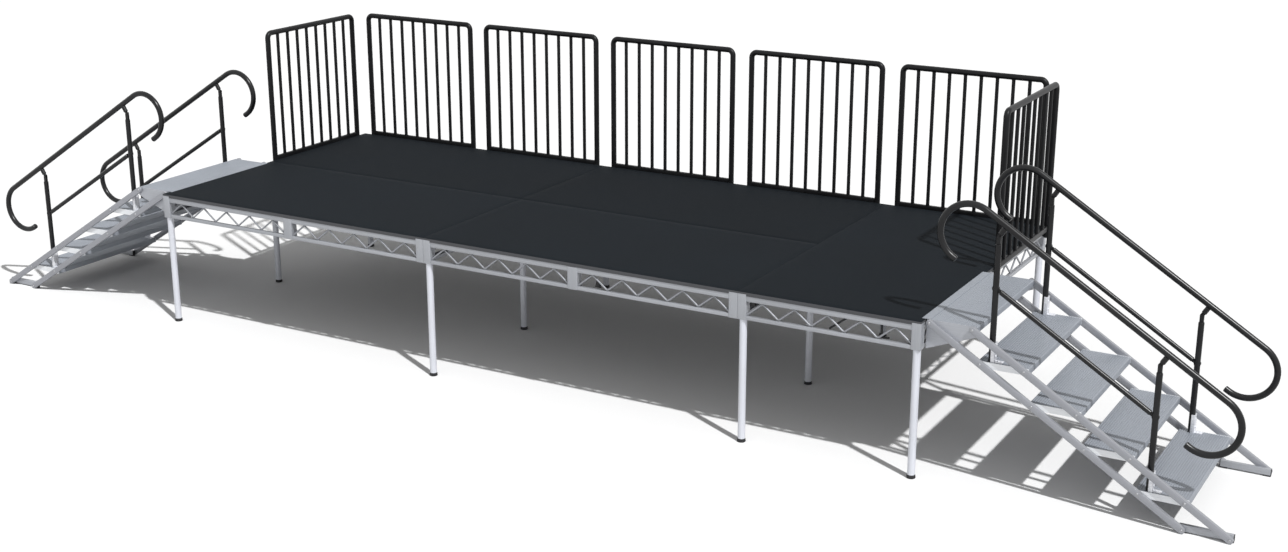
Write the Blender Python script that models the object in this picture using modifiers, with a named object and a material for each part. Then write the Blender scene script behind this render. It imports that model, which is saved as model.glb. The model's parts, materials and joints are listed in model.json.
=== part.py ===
"""Portable stage platform: five trussed deck panels on plug-in legs, guardrails round the back
half, and an adjustable stair at each end whose treads stay level as its angle changes.

Metres, +Z up, audience at -Y. The origin is on the floor, under the middle of the whole object.
"""

from math import atan2, cos, pi, radians, sin

import bmesh
import bpy
from mathutils import Matrix, Vector

# Flats of the round bars
TUBE_SIDES = 8
PIN_SIDES = 6

# Deck
DECK_HEIGHT = 1.016
PANEL_WIDTH = 1.2192
PANEL_LENGTH = 2 * PANEL_WIDTH  # so one panel turned crosswise closes two rows
PANEL_SEAM = 0.0003
FIT_GAP = 0.0003
BOARD_THICKNESS = 0.0254
BOARD_NOTCH_HEIGHT = 0.0127

# Panel frame, measured down from the deck surface
FRAME_DEPTH = 0.184
CORNER_POST_SIZE = 0.061
MIDDLE_POST_WIDTH = 0.076
CHORD_WIDTH = 0.038
CHORD_SETBACK = 0.004
CHORD_STEP = 0.002
TOP_CHORD_HEIGHT = 0.0356
BOTTOM_CHORD_HEIGHT = 0.0254
WEB_BAR_SIZE = 0.0127
WEB_PITCH = 0.22
WEB_WELD_DEPTH = 0.003
JOIST_WIDTH = 0.038
JOIST_HEIGHT = 0.03
JOIST_COUNT = 3

# Legs
LEG_DIAMETER = 0.0483
LEG_SOCKET_DEPTH = 0.127
LEG_SIDES = 10
FOOT_DIAMETER = 0.057
FOOT_HEIGHT = 0.023

# Guardrails
GUARDRAIL_HEIGHT = 1.055
GUARDRAIL_TUBE = 0.0422
GUARDRAIL_POST_INSET = 0.08
GUARDRAIL_CORNER_RADIUS = 0.042
GUARDRAIL_CORNER_STEPS = 3
BOTTOM_RAIL_WIDTH = 0.0254
BOTTOM_RAIL_HEIGHT = 0.0381
BALUSTER_COUNT = 8
BALUSTER_SIZE = 0.024
GUARDRAIL_OUTSET = 0.0225
GUARDRAIL_POST_DROP = 0.058
BOTTOM_RAIL_LIFT = -0.01
PEG_DIAMETER = 0.0222
PEG_DEPTH = 0.02

# Stair treads, of which the landing is the first
TREAD_COUNT = 5
TREAD_RUN = 0.3245
TREAD_DEPTH = 0.31
TREAD_WIDTH = 1.0795
TREAD_HEIGHT = 0.0406
TREAD_WALL = 0.005
GUSSET_FRONT_HEIGHT = 0.064
LANDING_LIP_REACH = 0.025
LANDING_LIP_THICKNESS = 0.003

# Stair linkage
PIVOT_DIAMETER = 0.0127
PIVOT_CLEARANCE = 0.0004
PIVOT_INSET = 0.0216
PIVOT_DROP = 0.0165
PIVOT_HEAD_DIAMETER = 0.0222
PIVOT_HEAD_THICKNESS = 0.004
SIDE_GAP = 0.0005
STRINGER_HEIGHT = 0.0406
STRINGER_WIDTH = 0.0254
STRINGER_END_STEPS = 6
FOOT_BAR_HEIGHT = 0.0406
FOOT_BAR_WIDTH = 0.0254
FOOT_PIVOT_HEIGHT = 0.0217
FOOT_PAD_HEIGHT = 0.009
FOOT_PAD_LENGTH = 0.05
FOOT_PAD_INSET = 0.0013

# Hanger plate between the stage and the landing
STAIR_STANDOFF = 0.0076
HANGER_HOOK_WIDTH = 0.04
HANGER_HOOK_THICKNESS = 0.008
HANGER_HOOK_DROP = 0.018

# Handrails
RAIL_TUBE = 0.0406
RAIL_LOOP_RADIUS = 0.18
RAIL_LOOP_STEPS = 7
RAIL_LOOP_TAIL = 0.02
RAIL_UPPER_OVERHANG = 0.145
RAIL_LOWER_OVERHANG = 0.406
RAIL_PIN_DROP = 0.08
RAIL_NECK_DIAMETER = 0.033
RAIL_NECK_CLEARANCE = 0.003
RAIL_POST_TREADS = (2, 5)
RAIL_POST_DIAMETER = 0.0368
RAIL_POST_BACK_INSET = 0.074
RAIL_POST_SIDE_INSET = 0.0318
RAIL_PIN_HEIGHT = 0.761
MID_RAIL_TUBE = 0.0318
MID_RAIL_PIN_HEIGHT = 0.449
TAB_THICKNESS = 0.0064
TAB_HEIGHT = 0.024
TAB_CLEARANCE = 0.0006
RAIL_PIN_DIAMETER = 0.0095
FORK_WIDTH = 0.0254
FORK_HEIGHT = 0.045
FORK_CHEEK = 0.0046
FORK_TOP_STEPS = 4
FORK_WELD_DEPTH = 0.012
MID_SLOT_HEIGHT = 0.056
POST_SOCKET_HEIGHT = 0.119
POST_SOCKET_WALL = 0.005
POST_SOCKET_FOOT = 0.05
POST_SOCKET_GAP = 0.0008

# Worked out from the sizes above
STAGE_LENGTH = 5 * PANEL_WIDTH
STAGE_DEPTH = 2 * PANEL_WIDTH
STAGE_FRONT = (PANEL_SEAM - STAGE_DEPTH) / 2
STAGE_BACK = STAGE_DEPTH / 2 + GUARDRAIL_OUTSET + GUARDRAIL_TUBE / 2
MIDDLE_Y = -(STAGE_FRONT + STAGE_BACK) / 2
GUARDRAIL_POST_SPACING = PANEL_WIDTH - 2 * GUARDRAIL_POST_INSET
PEG_DROP = BOARD_THICKNESS + FIT_GAP + TOP_CHORD_HEIGHT / 2
PEG_REACH = GUARDRAIL_OUTSET + PANEL_SEAM / 2 + CHORD_SETBACK + PEG_DEPTH
TREAD_RISE = DECK_HEIGHT / TREAD_COUNT
STAIR_ANGLE = atan2(TREAD_RISE, TREAD_RUN)
TREAD_SPACING = (TREAD_RISE**2 + TREAD_RUN**2) ** 0.5
LINK_LENGTH = TREAD_DEPTH - 2 * PIVOT_INSET
STRINGER_LENGTH = (DECK_HEIGHT - PIVOT_DROP - FOOT_PIVOT_HEIGHT) / sin(STAIR_ANGLE)
STRINGER_Y = TREAD_WIDTH / 2 + SIDE_GAP + STRINGER_WIDTH / 2
POST_Y = TREAD_WIDTH / 2 - RAIL_POST_SIDE_INSET
TAB_SLOT = TAB_THICKNESS + 2 * TAB_CLEARANCE

# Panels: name, column and row of the middle in panel widths, turned crosswise, corners with a leg
PANELS = (
    ("front_left", -1.5, -0.5, False, ("left_front", "left_back")),
    ("front_middle", 0.5, -0.5, False, ("left_front", "left_back", "right_back")),
    ("right_end", 2.0, 0.0, True, ("left_front", "left_back", "right_front", "right_back")),
    ("back_left", -1.5, 0.5, False, ("left_back",)),
    ("back_middle", 0.5, 0.5, False, ("left_back",)),
)

MATERIALS = {
    "deck": ((0.032, 0.036, 0.043), 0.62, 0.0),
    "aluminium": ((0.55, 0.57, 0.60), 0.42, 1.0),
    "black steel": ((0.018, 0.019, 0.020), 0.30, 0.0),
}


def start_scene():
    """Clear the scene and make the collections of parts and of cutters."""
    for item in list(bpy.data.objects):
        bpy.data.objects.remove(item, do_unlink=True)
    groups = {}
    for name in ("stage_platform", "cutters"):
        groups[name] = bpy.data.collections.new(name)
        bpy.context.scene.collection.children.link(groups[name])
    return groups["stage_platform"], groups["cutters"]


PARTS, CUTTERS = start_scene()


def make_materials():
    """One Principled material for each finish."""
    made = {}
    for name, (colour, roughness, metallic) in MATERIALS.items():
        material = bpy.data.materials.new(name)
        material.use_nodes = True
        shader = material.node_tree.nodes["Principled BSDF"]
        shader.inputs["Base Color"].default_value = (*colour, 1.0)
        shader.inputs["Roughness"].default_value = roughness
        shader.inputs["Metallic"].default_value = metallic
        material.diffuse_color = (*colour, 1.0)
        made[name] = material
    return made


FINISHES = make_materials()


def shape_object(mesh, name="shape"):
    """A hidden helper object that a Boolean can read."""
    item = bpy.data.objects.new(name, mesh)
    item.hide_render = True
    item.display_type = "WIRE"
    CUTTERS.objects.link(item)
    return item


def box(low, high):
    """A box between two corners."""
    low, high = Vector(low), Vector(high)
    work = bmesh.new()
    size = Matrix.Diagonal((high - low).to_4d())
    bmesh.ops.create_cube(work, size=1.0, matrix=Matrix.Translation((low + high) / 2) @ size)
    return finish_bmesh(work)


def rod(start, end, diameter, sides):
    """A round bar between two points, with a flat facing sideways and across."""
    start, end = Vector(start), Vector(end)
    along = end - start
    work = bmesh.new()
    turn = along.to_track_quat("Z", "Y").to_matrix().to_4x4() @ Matrix.Rotation(pi / sides, 4, "Z")
    bmesh.ops.create_cone(
        work,
        cap_ends=True,
        segments=sides,
        radius1=diameter / 2,
        radius2=diameter / 2,
        depth=along.length,
        matrix=Matrix.Translation((start + end) / 2) @ turn,
    )
    return finish_bmesh(work)


def finish_bmesh(work):
    """Turn bmesh data into a helper object."""
    mesh = bpy.data.meshes.new("shape")
    work.to_mesh(mesh)
    work.free()
    return shape_object(mesh)


def curve_object(loops, closed, dimensions):
    """A POLY curve object through each list of points."""
    curve = bpy.data.curves.new("shape", "CURVE")
    curve.dimensions = dimensions
    for points in loops:
        spline = curve.splines.new("POLY")
        spline.points.add(len(points) - 1)
        for point, place in zip(spline.points, points):
            point.co = (*Vector(place).to_3d(), 1.0)
        spline.use_cyclic_u = closed
    item = bpy.data.objects.new("shape", curve)
    CUTTERS.objects.link(item)
    return item


def curve_to_shape(item):
    """Replace a curve object by its mesh, with its caps welded on."""
    graph = bpy.context.evaluated_depsgraph_get()
    mesh = bpy.data.meshes.new_from_object(item.evaluated_get(graph))
    work = bmesh.new()
    work.from_mesh(mesh)
    bmesh.ops.remove_doubles(work, verts=work.verts, dist=0.00001)
    bmesh.ops.recalc_face_normals(work, faces=work.faces)
    work.to_mesh(mesh)
    work.free()
    placed = item.matrix_world.copy()
    bpy.data.objects.remove(item, do_unlink=True)
    shape = shape_object(mesh)
    shape.matrix_world = placed
    return shape


def bent_bar(points, diameter, sides):
    """A bar along a list of points; an even count of sides, of which one lies on the plane."""
    item = curve_object([points], False, "3D")
    item.data.bevel_depth = diameter / 2
    item.data.bevel_resolution = (sides - 4) // 2
    item.data.use_fill_caps = True
    for point in item.data.splines[0].points:
        point.tilt = pi / sides
    return curve_to_shape(item)


def turned(profile, sides, base, direction):
    """A turned solid from (radius, distance) points, starting at base along a direction."""
    mesh = bpy.data.meshes.new("shape")
    points = [(radius, 0, distance) for radius, distance in reversed(profile)]
    mesh.from_pydata(points, [(index, index + 1) for index in range(len(points) - 1)], [])
    item = shape_object(mesh)
    screw = item.modifiers.new("Turn", "SCREW")
    screw.steps = screw.render_steps = sides
    screw.use_merge_vertices = True
    screw.merge_threshold = 0.00001
    tilt = Vector(direction).to_track_quat("Z", "Y").to_matrix().to_4x4()
    item.matrix_world = Matrix.Translation(base) @ tilt
    return combine_shape([item])


def flat_plate(outline, holes, thickness, place):
    """A plate cut from an outline in its own X and Y, with holes, put in its place."""
    item = curve_object([outline, *holes], True, "2D")
    item.data.fill_mode = "BOTH"
    item.data.extrude = thickness / 2
    item.matrix_world = place
    return curve_to_shape(item)


def upright_plate(outline, holes, middle_y, thickness):
    """A plate standing along X and Z, with holes through it along Y."""
    place = Matrix.Translation((0, middle_y, 0)) @ Matrix.Rotation(pi / 2, 4, "X")
    return flat_plate(outline, holes, thickness, place)


def ring(centre, diameter, sides):
    """Corners of a regular polygon in a plate's plane."""
    return [
        (
            centre[0] + diameter / 2 * cos(2 * pi * (step + 0.5) / sides),
            centre[1] + diameter / 2 * sin(2 * pi * (step + 0.5) / sides),
        )
        for step in range(sides)
    ]


def bore_diameter(diameter, clearance, sides):
    """Corner diameter of a faceted bore whose flats clear a round bar."""
    return (diameter + 2 * clearance) / cos(pi / sides)


def round_ended(start, end, radius, steps):
    """Outline of a bar along X whose ends are half polygons drawn round two points."""
    outline = []
    corner = radius / cos(pi / (2 * steps))
    for centre, first in ((end, -pi / 2), (start, pi / 2)):
        for step in range(steps):
            angle = first + pi * (step + 0.5) / steps
            outline.append((centre + corner * cos(angle), corner * sin(angle)))
    return outline


def combine(pieces, cutters=()):
    """One mesh from welded pieces less their cutters; the helper objects are removed.

    Faces that lie in one plane are joined.
    """
    body = pieces[0]
    groups = []
    for operation, others in (("UNION", pieces[1:]), ("DIFFERENCE", cutters)):
        if not others:
            continue
        group = bpy.data.collections.new(operation)
        CUTTERS.children.link(group)
        for item in others:
            group.objects.link(item)
        modifier = body.modifiers.new(operation.title(), "BOOLEAN")
        modifier.operation = operation
        modifier.operand_type = "COLLECTION"
        modifier.collection = group
        modifier.solver = "EXACT"
        groups.append(group)
    graph = bpy.context.evaluated_depsgraph_get()
    mesh = bpy.data.meshes.new_from_object(body.evaluated_get(graph))
    mesh.transform(body.matrix_world)
    for item in (*pieces, *cutters):
        bpy.data.objects.remove(item, do_unlink=True)
    for group in groups:
        bpy.data.collections.remove(group)
    work = bmesh.new()
    work.from_mesh(mesh)
    bmesh.ops.dissolve_limit(work, angle_limit=radians(0.2), verts=work.verts, edges=work.edges)
    work.to_mesh(mesh)
    work.free()
    return mesh


def combine_shape(pieces, cutters=()):
    """As combine, but kept as a helper object for a later weld."""
    return shape_object(combine(pieces, cutters))


def add_node(name, mesh, finish, parent=None, location=(0, 0, 0), turn=0.0):
    """Place one named piece of the object."""
    if not mesh.materials:
        mesh.materials.append(FINISHES[finish])
        mesh.shade_smooth()
        mesh.set_sharp_from_angle(angle=radians(50))
    item = bpy.data.objects.new(name, mesh)
    item.parent = parent
    item.location = location
    item.rotation_euler = (0, 0, turn)
    PARTS.objects.link(item)
    return item


def add_empty(name, location, parent=None, rotation=(0, 0, 0)):
    """An empty that carries pieces; a joint's empty lies on its axis."""
    item = bpy.data.objects.new(name, None)
    item.empty_display_size = 0.05
    item.location = location
    item.rotation_euler = rotation
    item.parent = parent
    PARTS.objects.link(item)
    return item


def panel_half_sizes():
    """Half the length and half the width of one panel, less its share of the seam."""
    return PANEL_LENGTH / 2 - PANEL_SEAM / 2, PANEL_WIDTH / 2 - PANEL_SEAM / 2


def corner_centres():
    """Middles of the four corner posts, by corner name, in a panel's own directions."""
    half_x, half_y = panel_half_sizes()
    x, y = half_x - CORNER_POST_SIZE / 2, half_y - CORNER_POST_SIZE / 2
    return {
        "left_front": (-x, -y),
        "left_back": (-x, y),
        "right_front": (x, -y),
        "right_back": (x, y),
    }


def build_board():
    """Deck board whose underside is notched for the corner posts."""
    half_x, half_y = panel_half_sizes()
    plank = box((-half_x, -half_y, -BOARD_THICKNESS), (half_x, half_y, 0))
    reach = CORNER_POST_SIZE / 2 + FIT_GAP
    cutters = [
        box(
            (x - reach, y - reach, -2 * BOARD_THICKNESS),
            (x + reach, y + reach, -BOARD_NOTCH_HEIGHT),
        )
        for x, y in corner_centres().values()
    ]
    return combine([plank], cutters)


def web_points(start, end, low, high):
    """Zigzag of the truss web between two posts, low at both ends."""
    peaks = max(1, round((end - start) / WEB_PITCH))
    step = (end - start) / (2 * peaks)
    return [(start + step * index, high if index % 2 else low) for index in range(2 * peaks + 1)]


def build_frame(pegs):
    """Welded panel frame: posts with leg sockets, chords, zigzag webs and cross joists.

    Each peg of a guardrail is a start and an end, and gets a blind bore in the upper chord.
    """
    half_x, half_y = panel_half_sizes()
    top = -BOARD_THICKNESS - FIT_GAP
    chord_low = top - TOP_CHORD_HEIGHT
    bottom = -FRAME_DEPTH
    lower_low = bottom + CHORD_STEP
    lower_top = lower_low + BOTTOM_CHORD_HEIGHT
    web_low = lower_top - WEB_WELD_DEPTH
    web_high = chord_low + WEB_WELD_DEPTH
    pieces = []
    corners = corner_centres().values()
    for x, y in corners:
        reach = CORNER_POST_SIZE / 2
        post_top = -BOARD_NOTCH_HEIGHT - FIT_GAP
        pieces.append(box((x - reach, y - reach, bottom), (x + reach, y + reach, post_top)))
    for side in (-1, 1):
        # long side, along X
        outer = side * (half_y - CHORD_SETBACK)
        inner = outer - side * CHORD_WIDTH
        y_range = sorted((outer, inner))
        end = half_x - CORNER_POST_SIZE / 2
        for z_low, z_high in ((chord_low, top), (lower_low, lower_top)):
            pieces.append(box((-end, y_range[0], z_low), (end, y_range[1], z_high)))
        post_y = sorted((side * half_y, side * (half_y - CORNER_POST_SIZE)))
        half_post = MIDDLE_POST_WIDTH / 2
        pieces.append(
            box((-half_post, post_y[0], bottom), (half_post, post_y[1], top - CHORD_STEP))
        )
        face = half_x - CORNER_POST_SIZE
        for start, stop in ((-face, -half_post), (half_post, face)):
            path = [(x, (outer + inner) / 2, z) for x, z in web_points(start, stop, web_low, web_high)]
            pieces.append(bent_bar(path, WEB_BAR_SIZE / cos(pi / 4), 4))
        # short side, along Y
        outer = side * (half_x - CHORD_SETBACK)
        inner = outer - side * CHORD_WIDTH
        x_range = sorted((outer, inner))
        end = half_y - CORNER_POST_SIZE / 2
        for z_low, z_high in ((chord_low, top), (lower_low, lower_top)):
            pieces.append(box((x_range[0], -end, z_low), (x_range[1], end, z_high)))
        face = half_y - CORNER_POST_SIZE
        path = [((outer + inner) / 2, y, z) for y, z in web_points(-face, face, web_low, web_high)]
        pieces.append(bent_bar(path, WEB_BAR_SIZE / cos(pi / 4), 4))
    joist_end = half_y - CHORD_SETBACK - CHORD_WIDTH / 2
    for index in range(JOIST_COUNT):
        x = PANEL_LENGTH * ((index + 1) / (JOIST_COUNT + 1) - 0.5)
        joist_top = top - 2 * CHORD_STEP
        pieces.append(
            box(
                (x - JOIST_WIDTH / 2, -joist_end, joist_top - JOIST_HEIGHT),
                (x + JOIST_WIDTH / 2, joist_end, joist_top),
            )
        )
    socket = bore_diameter(LEG_DIAMETER, FIT_GAP, LEG_SIDES)
    low, high = bottom - LEG_SOCKET_DEPTH, bottom + LEG_SOCKET_DEPTH
    cutters = [rod((x, y, low), (x, y, high), socket, LEG_SIDES) for x, y in corners]
    bore = bore_diameter(PEG_DIAMETER, FIT_GAP, PIN_SIDES)
    cutters += [rod(start, stop, bore, PIN_SIDES) for start, stop in pegs]
    return combine(pieces, cutters)


def build_leg():
    """Round leg with its rubber foot; it seats at the end of the corner post's socket."""
    leg_top = DECK_HEIGHT - FRAME_DEPTH + LEG_SOCKET_DEPTH - FIT_GAP
    tube = rod((0, 0, FOOT_HEIGHT / 2), (0, 0, leg_top), LEG_DIAMETER, LEG_SIDES)
    foot = rod((0, 0, 0), (0, 0, FOOT_HEIGHT), FOOT_DIAMETER, LEG_SIDES)
    return combine([tube, foot])


def build_guardrail():
    """Guardrail along X, with z = 0 at the deck surface and +Y away from the stage.

    A peg on each post goes back into the panel frame.
    """
    half = GUARDRAIL_POST_SPACING / 2
    radius = GUARDRAIL_TUBE / 2
    rail_z = GUARDRAIL_HEIGHT - radius
    bend = GUARDRAIL_CORNER_RADIUS
    path = [(-half, 0, -GUARDRAIL_POST_DROP)]
    for side, first in ((-1, pi), (1, pi / 2)):
        for step in range(GUARDRAIL_CORNER_STEPS + 1):
            angle = first - pi / 2 * step / GUARDRAIL_CORNER_STEPS
            centre_x, centre_z = side * (half - bend), rail_z - bend
            path.append((centre_x + bend * cos(angle), 0, centre_z + bend * sin(angle)))
    path.append((half, 0, -GUARDRAIL_POST_DROP))
    pieces = [bent_bar(path, GUARDRAIL_TUBE / cos(pi / TUBE_SIDES), TUBE_SIDES)]
    lower = BOTTOM_RAIL_LIFT
    side = BOTTOM_RAIL_WIDTH / 2
    pieces.append(box((-half, -side, lower), (half, side, lower + BOTTOM_RAIL_HEIGHT)))
    side = BALUSTER_SIZE / 2
    for index in range(BALUSTER_COUNT):
        x = GUARDRAIL_POST_SPACING * ((index + 1) / (BALUSTER_COUNT + 1) - 0.5)
        pieces.append(box((x - side, -side, lower + side), (x + side, side, rail_z)))
    for x in (-half, half):
        pieces.append(rod((x, 0, -PEG_DROP), (x, -PEG_REACH, -PEG_DROP), PEG_DIAMETER, PIN_SIDES))
    return combine(pieces)


def guardrail_places():
    """Name, middle of the foot line and turn about Z of each guardrail."""
    places = []
    y = STAGE_DEPTH / 2 + GUARDRAIL_OUTSET
    for index in range(round(STAGE_LENGTH / PANEL_WIDTH)):
        x = -STAGE_LENGTH / 2 + (index + 0.5) * PANEL_WIDTH
        places.append((f"guardrail_back_{index + 1}", (x, y), 0.0))
    x = STAGE_LENGTH / 2 + GUARDRAIL_OUTSET
    for name, side in (("guardrail_left", -1), ("guardrail_right", 1)):
        places.append((name, (side * x, PANEL_WIDTH / 2), -side * pi / 2))
    return places


def peg_lines(middle, turn):
    """Start outside the deck and end inside a chord of each bore for one guardrail's pegs."""
    place = Matrix.Translation((*middle, -PEG_DROP)) @ Matrix.Rotation(turn, 4, "Z")
    half = GUARDRAIL_POST_SPACING / 2
    stop = -PEG_REACH - FIT_GAP
    return [(place @ Vector((x, 0, 0)), place @ Vector((x, stop, 0))) for x in (-half, half)]


def build_stage():
    """Deck panels, legs and guardrails."""
    stage = add_empty("stage", (0, MIDDLE_Y, 0))
    pegs = [line for _, middle, turn in guardrail_places() for line in peg_lines(middle, turn)]
    half_x, half_y = panel_half_sizes()
    board_mesh = build_board()
    leg_mesh = build_leg()
    rows = {"front": [], "middle": [], "back": []}
    for name, column, row, crosswise, leg_corners in PANELS:
        turn = -pi / 2 if crosswise else 0.0
        x, y = column * PANEL_WIDTH, row * PANEL_WIDTH
        place = Matrix.Translation((x, y, 0)) @ Matrix.Rotation(turn, 4, "Z")
        local = [[place.inverted() @ point for point in line] for line in pegs]
        own = [(start, end) for start, end in local if abs(end.x) < half_x and abs(end.y) < half_y]
        location = (x, y, DECK_HEIGHT)
        add_node(f"deck_board_{name}", board_mesh, "deck", stage, location, turn)
        add_node(f"deck_frame_{name}", build_frame(own), "aluminium", stage, location, turn)
        for corner in leg_corners:
            point = place @ Vector((*corner_centres()[corner], 0))
            third = PANEL_WIDTH / 2
            line = "front" if point.y < -third else "back" if point.y > third else "middle"
            rows[line].append(point)
    for line, points in rows.items():
        for number, point in enumerate(sorted(points, key=lambda p: p.x), start=1):
            add_node(f"leg_{line}_{number}", leg_mesh, "aluminium", stage, (point.x, point.y, 0))
    guardrail_mesh = build_guardrail()
    for name, middle, turn in guardrail_places():
        add_node(name, guardrail_mesh, "black steel", stage, (*middle, DECK_HEIGHT), turn)


def pivot_studs(x, z):
    """Round-headed pivot studs on both ends of a tread, through the stringers beside it."""
    studs = []
    for side in (-1, 1):
        inside = side * (TREAD_WIDTH / 2 - TREAD_WALL / 2)
        head = side * (STRINGER_Y + STRINGER_WIDTH / 2 + SIDE_GAP)
        outside = head + side * PIVOT_HEAD_THICKNESS
        profile = [
            (0, 0),
            (PIVOT_DIAMETER / 2, 0),
            (PIVOT_DIAMETER / 2, abs(head - inside)),
            (PIVOT_HEAD_DIAMETER / 2, abs(head - inside)),
            (0, abs(outside - inside)),
        ]
        studs.append(turned(profile, PIN_SIDES, (x, inside, z), (0, side, 0)))
    return studs


def tread_tray(back, surface):
    """Solids and cutter of a tread, an upside-down tray whose top is at the surface height."""
    half = TREAD_WIDTH / 2
    shell = box((back, -half, surface - TREAD_HEIGHT), (back + TREAD_DEPTH, half, surface))
    hollow = box(
        (back + TREAD_WALL, TREAD_WALL - half, surface - 2 * TREAD_HEIGHT),
        (back + TREAD_DEPTH - TREAD_WALL, half - TREAD_WALL, surface - TREAD_WALL),
    )
    return combine_shape([shell], [hollow])


def build_landing():
    """Top tread level with the deck, with a gusset under each end and a lip over the deck's edge."""
    back = STAIR_STANDOFF
    pieces = [tread_tray(back, DECK_HEIGHT)]
    top = DECK_HEIGHT - TREAD_WALL / 2
    outline = [
        (back, DECK_HEIGHT - FRAME_DEPTH),
        (back + TREAD_DEPTH - TREAD_WALL, DECK_HEIGHT - GUSSET_FRONT_HEIGHT),
        (back + TREAD_DEPTH - TREAD_WALL, top),
        (back, top),
    ]
    for side in (-1, 1):
        middle_y = side * (TREAD_WIDTH / 2 - TREAD_WALL)
        pieces.append(upright_plate(outline, [], middle_y, TREAD_WALL))
    lip_low = DECK_HEIGHT + FIT_GAP
    lip_top = lip_low + LANDING_LIP_THICKNESS
    lip_outline = [
        (-LANDING_LIP_REACH, lip_low),
        (back, lip_low),
        (back, top),
        (back + PIVOT_INSET, top),
        (back + PIVOT_INSET, lip_top),
        (-LANDING_LIP_REACH, lip_top),
    ]
    pieces.append(upright_plate(lip_outline, [], 0, TREAD_WIDTH))
    for x in (back + PIVOT_INSET, back + TREAD_DEPTH - PIVOT_INSET):
        pieces += pivot_studs(x, DECK_HEIGHT - PIVOT_DROP)
    return combine(pieces)


def rail_post_pieces(x, y, surface):
    """Solids, slot cutters and pins of a handrail post and its channel socket on a tread."""
    radius = RAIL_POST_DIAMETER / 2
    pin_z = surface + RAIL_PIN_HEIGHT
    mid_z = surface + MID_RAIL_PIN_HEIGHT
    buried = surface - TREAD_WALL / 2
    post_top = pin_z - FORK_HEIGHT
    pieces = [rod((x, y, buried), (x, y, post_top), RAIL_POST_DIAMETER, TUBE_SIDES)]
    half = FORK_WIDTH / 2
    low = post_top - FORK_WELD_DEPTH
    cheek_outline = [(x - half, low), (x + half, low)]
    for step in range(FORK_TOP_STEPS + 1):
        angle = pi * step / FORK_TOP_STEPS
        cheek_outline.append((x + half * cos(angle), pin_z + half * sin(angle)))
    cheek_y = (TAB_SLOT + FORK_CHEEK) / 2
    for side in (-1, 1):
        pieces.append(upright_plate(cheek_outline, [], y + side * cheek_y, FORK_CHEEK))
    slot_z = MID_SLOT_HEIGHT / 2
    slot_y = TAB_SLOT / 2
    slots = [
        box(
            (x - 2 * radius, y - slot_y, mid_z - slot_z),
            (x + 2 * radius, y + slot_y, mid_z + slot_z),
        )
    ]
    pieces += post_socket(x, y, surface, buried)
    pins = []
    for z, reach in ((pin_z, cheek_y), (mid_z, cheek_y)):
        pins.append(rod((x, y - reach, z), (x, y + reach, z), RAIL_PIN_DIAMETER, PIN_SIDES))
    return pieces, slots, pins


def post_socket(x, y, surface, buried):
    """Channel open at the back that stands round the foot of a post, and its foot plate."""
    inner = RAIL_POST_DIAMETER / 2 + POST_SOCKET_GAP
    outer = inner + POST_SOCKET_WALL
    channel = [
        (x, y - outer),
        (x + outer, y - outer),
        (x + outer, y + outer),
        (x, y + outer),
        (x, y + inner),
        (x + inner, y + inner),
        (x + inner, y - inner),
        (x, y - inner),
    ]
    height = POST_SOCKET_HEIGHT + TREAD_WALL / 2
    place = Matrix.Translation((0, 0, buried + height / 2))
    foot_low = (x + inner + POST_SOCKET_WALL / 2, y - inner, buried)
    foot_high = (x + outer + POST_SOCKET_FOOT, y + inner, surface + POST_SOCKET_WALL)
    return [flat_plate(channel, [], height, place), box(foot_low, foot_high)]


def build_tread(with_posts):
    """Tread with its origin at its back pivot; some treads also carry the handrail posts."""
    back = -PIVOT_INSET
    surface = PIVOT_DROP
    pieces = [tread_tray(back, surface)]
    for x in (0, LINK_LENGTH):
        pieces += pivot_studs(x, 0)
    if not with_posts:
        return combine(pieces)
    slots = []
    pins = []
    for side in (-1, 1):
        x = back + RAIL_POST_BACK_INSET
        post, post_slots, post_pins = rail_post_pieces(x, side * POST_Y, surface)
        pieces += post
        slots += post_slots
        pins += post_pins
    return combine([combine_shape(pieces, slots), *pins])


def build_stringer():
    """Flat bar along X from its landing pivot, bored for every tread and the foot bar."""
    radius = STRINGER_HEIGHT / 2
    bore = bore_diameter(PIVOT_DIAMETER, PIVOT_CLEARANCE, PIN_SIDES)
    places = [index * TREAD_SPACING for index in range(TREAD_COUNT)] + [STRINGER_LENGTH]
    outline = round_ended(0, STRINGER_LENGTH, radius, STRINGER_END_STEPS)
    holes = [ring((x, 0), bore, PIN_SIDES) for x in places]
    return combine([upright_plate(outline, holes, 0, STRINGER_WIDTH)])


def build_foot_bar(side):
    """Ground bar between the two stringers of one side, origin at its back pivot."""
    inner = TREAD_WIDTH / 2 - FOOT_BAR_WIDTH
    y_range = sorted((side * inner, side * TREAD_WIDTH / 2))
    end = STRINGER_HEIGHT / 2
    low = FOOT_PAD_HEIGHT - FOOT_PIVOT_HEIGHT
    high = low + FOOT_BAR_HEIGHT
    pieces = [box((-end, y_range[0], low), (LINK_LENGTH + end, y_range[1], high))]
    pad_low = -FOOT_PIVOT_HEIGHT
    inset = FOOT_PAD_INSET
    for start in (-end, LINK_LENGTH + end - FOOT_PAD_LENGTH):
        pieces.append(
            box(
                (start + inset, y_range[0] + inset, pad_low),
                (start + FOOT_PAD_LENGTH - inset, y_range[1] - inset, low + inset),
            )
        )
    for x in (0, LINK_LENGTH):
        for stud in pivot_studs(x, 0):
            if stud_side(stud) == side:
                pieces.append(stud)
            else:
                bpy.data.objects.remove(stud, do_unlink=True)
    return combine(pieces)


def stud_side(stud):
    """+1 or -1 for the end of the tread that a stud is on."""
    return 1 if stud.data.vertices[0].co.y > 0 else -1


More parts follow.
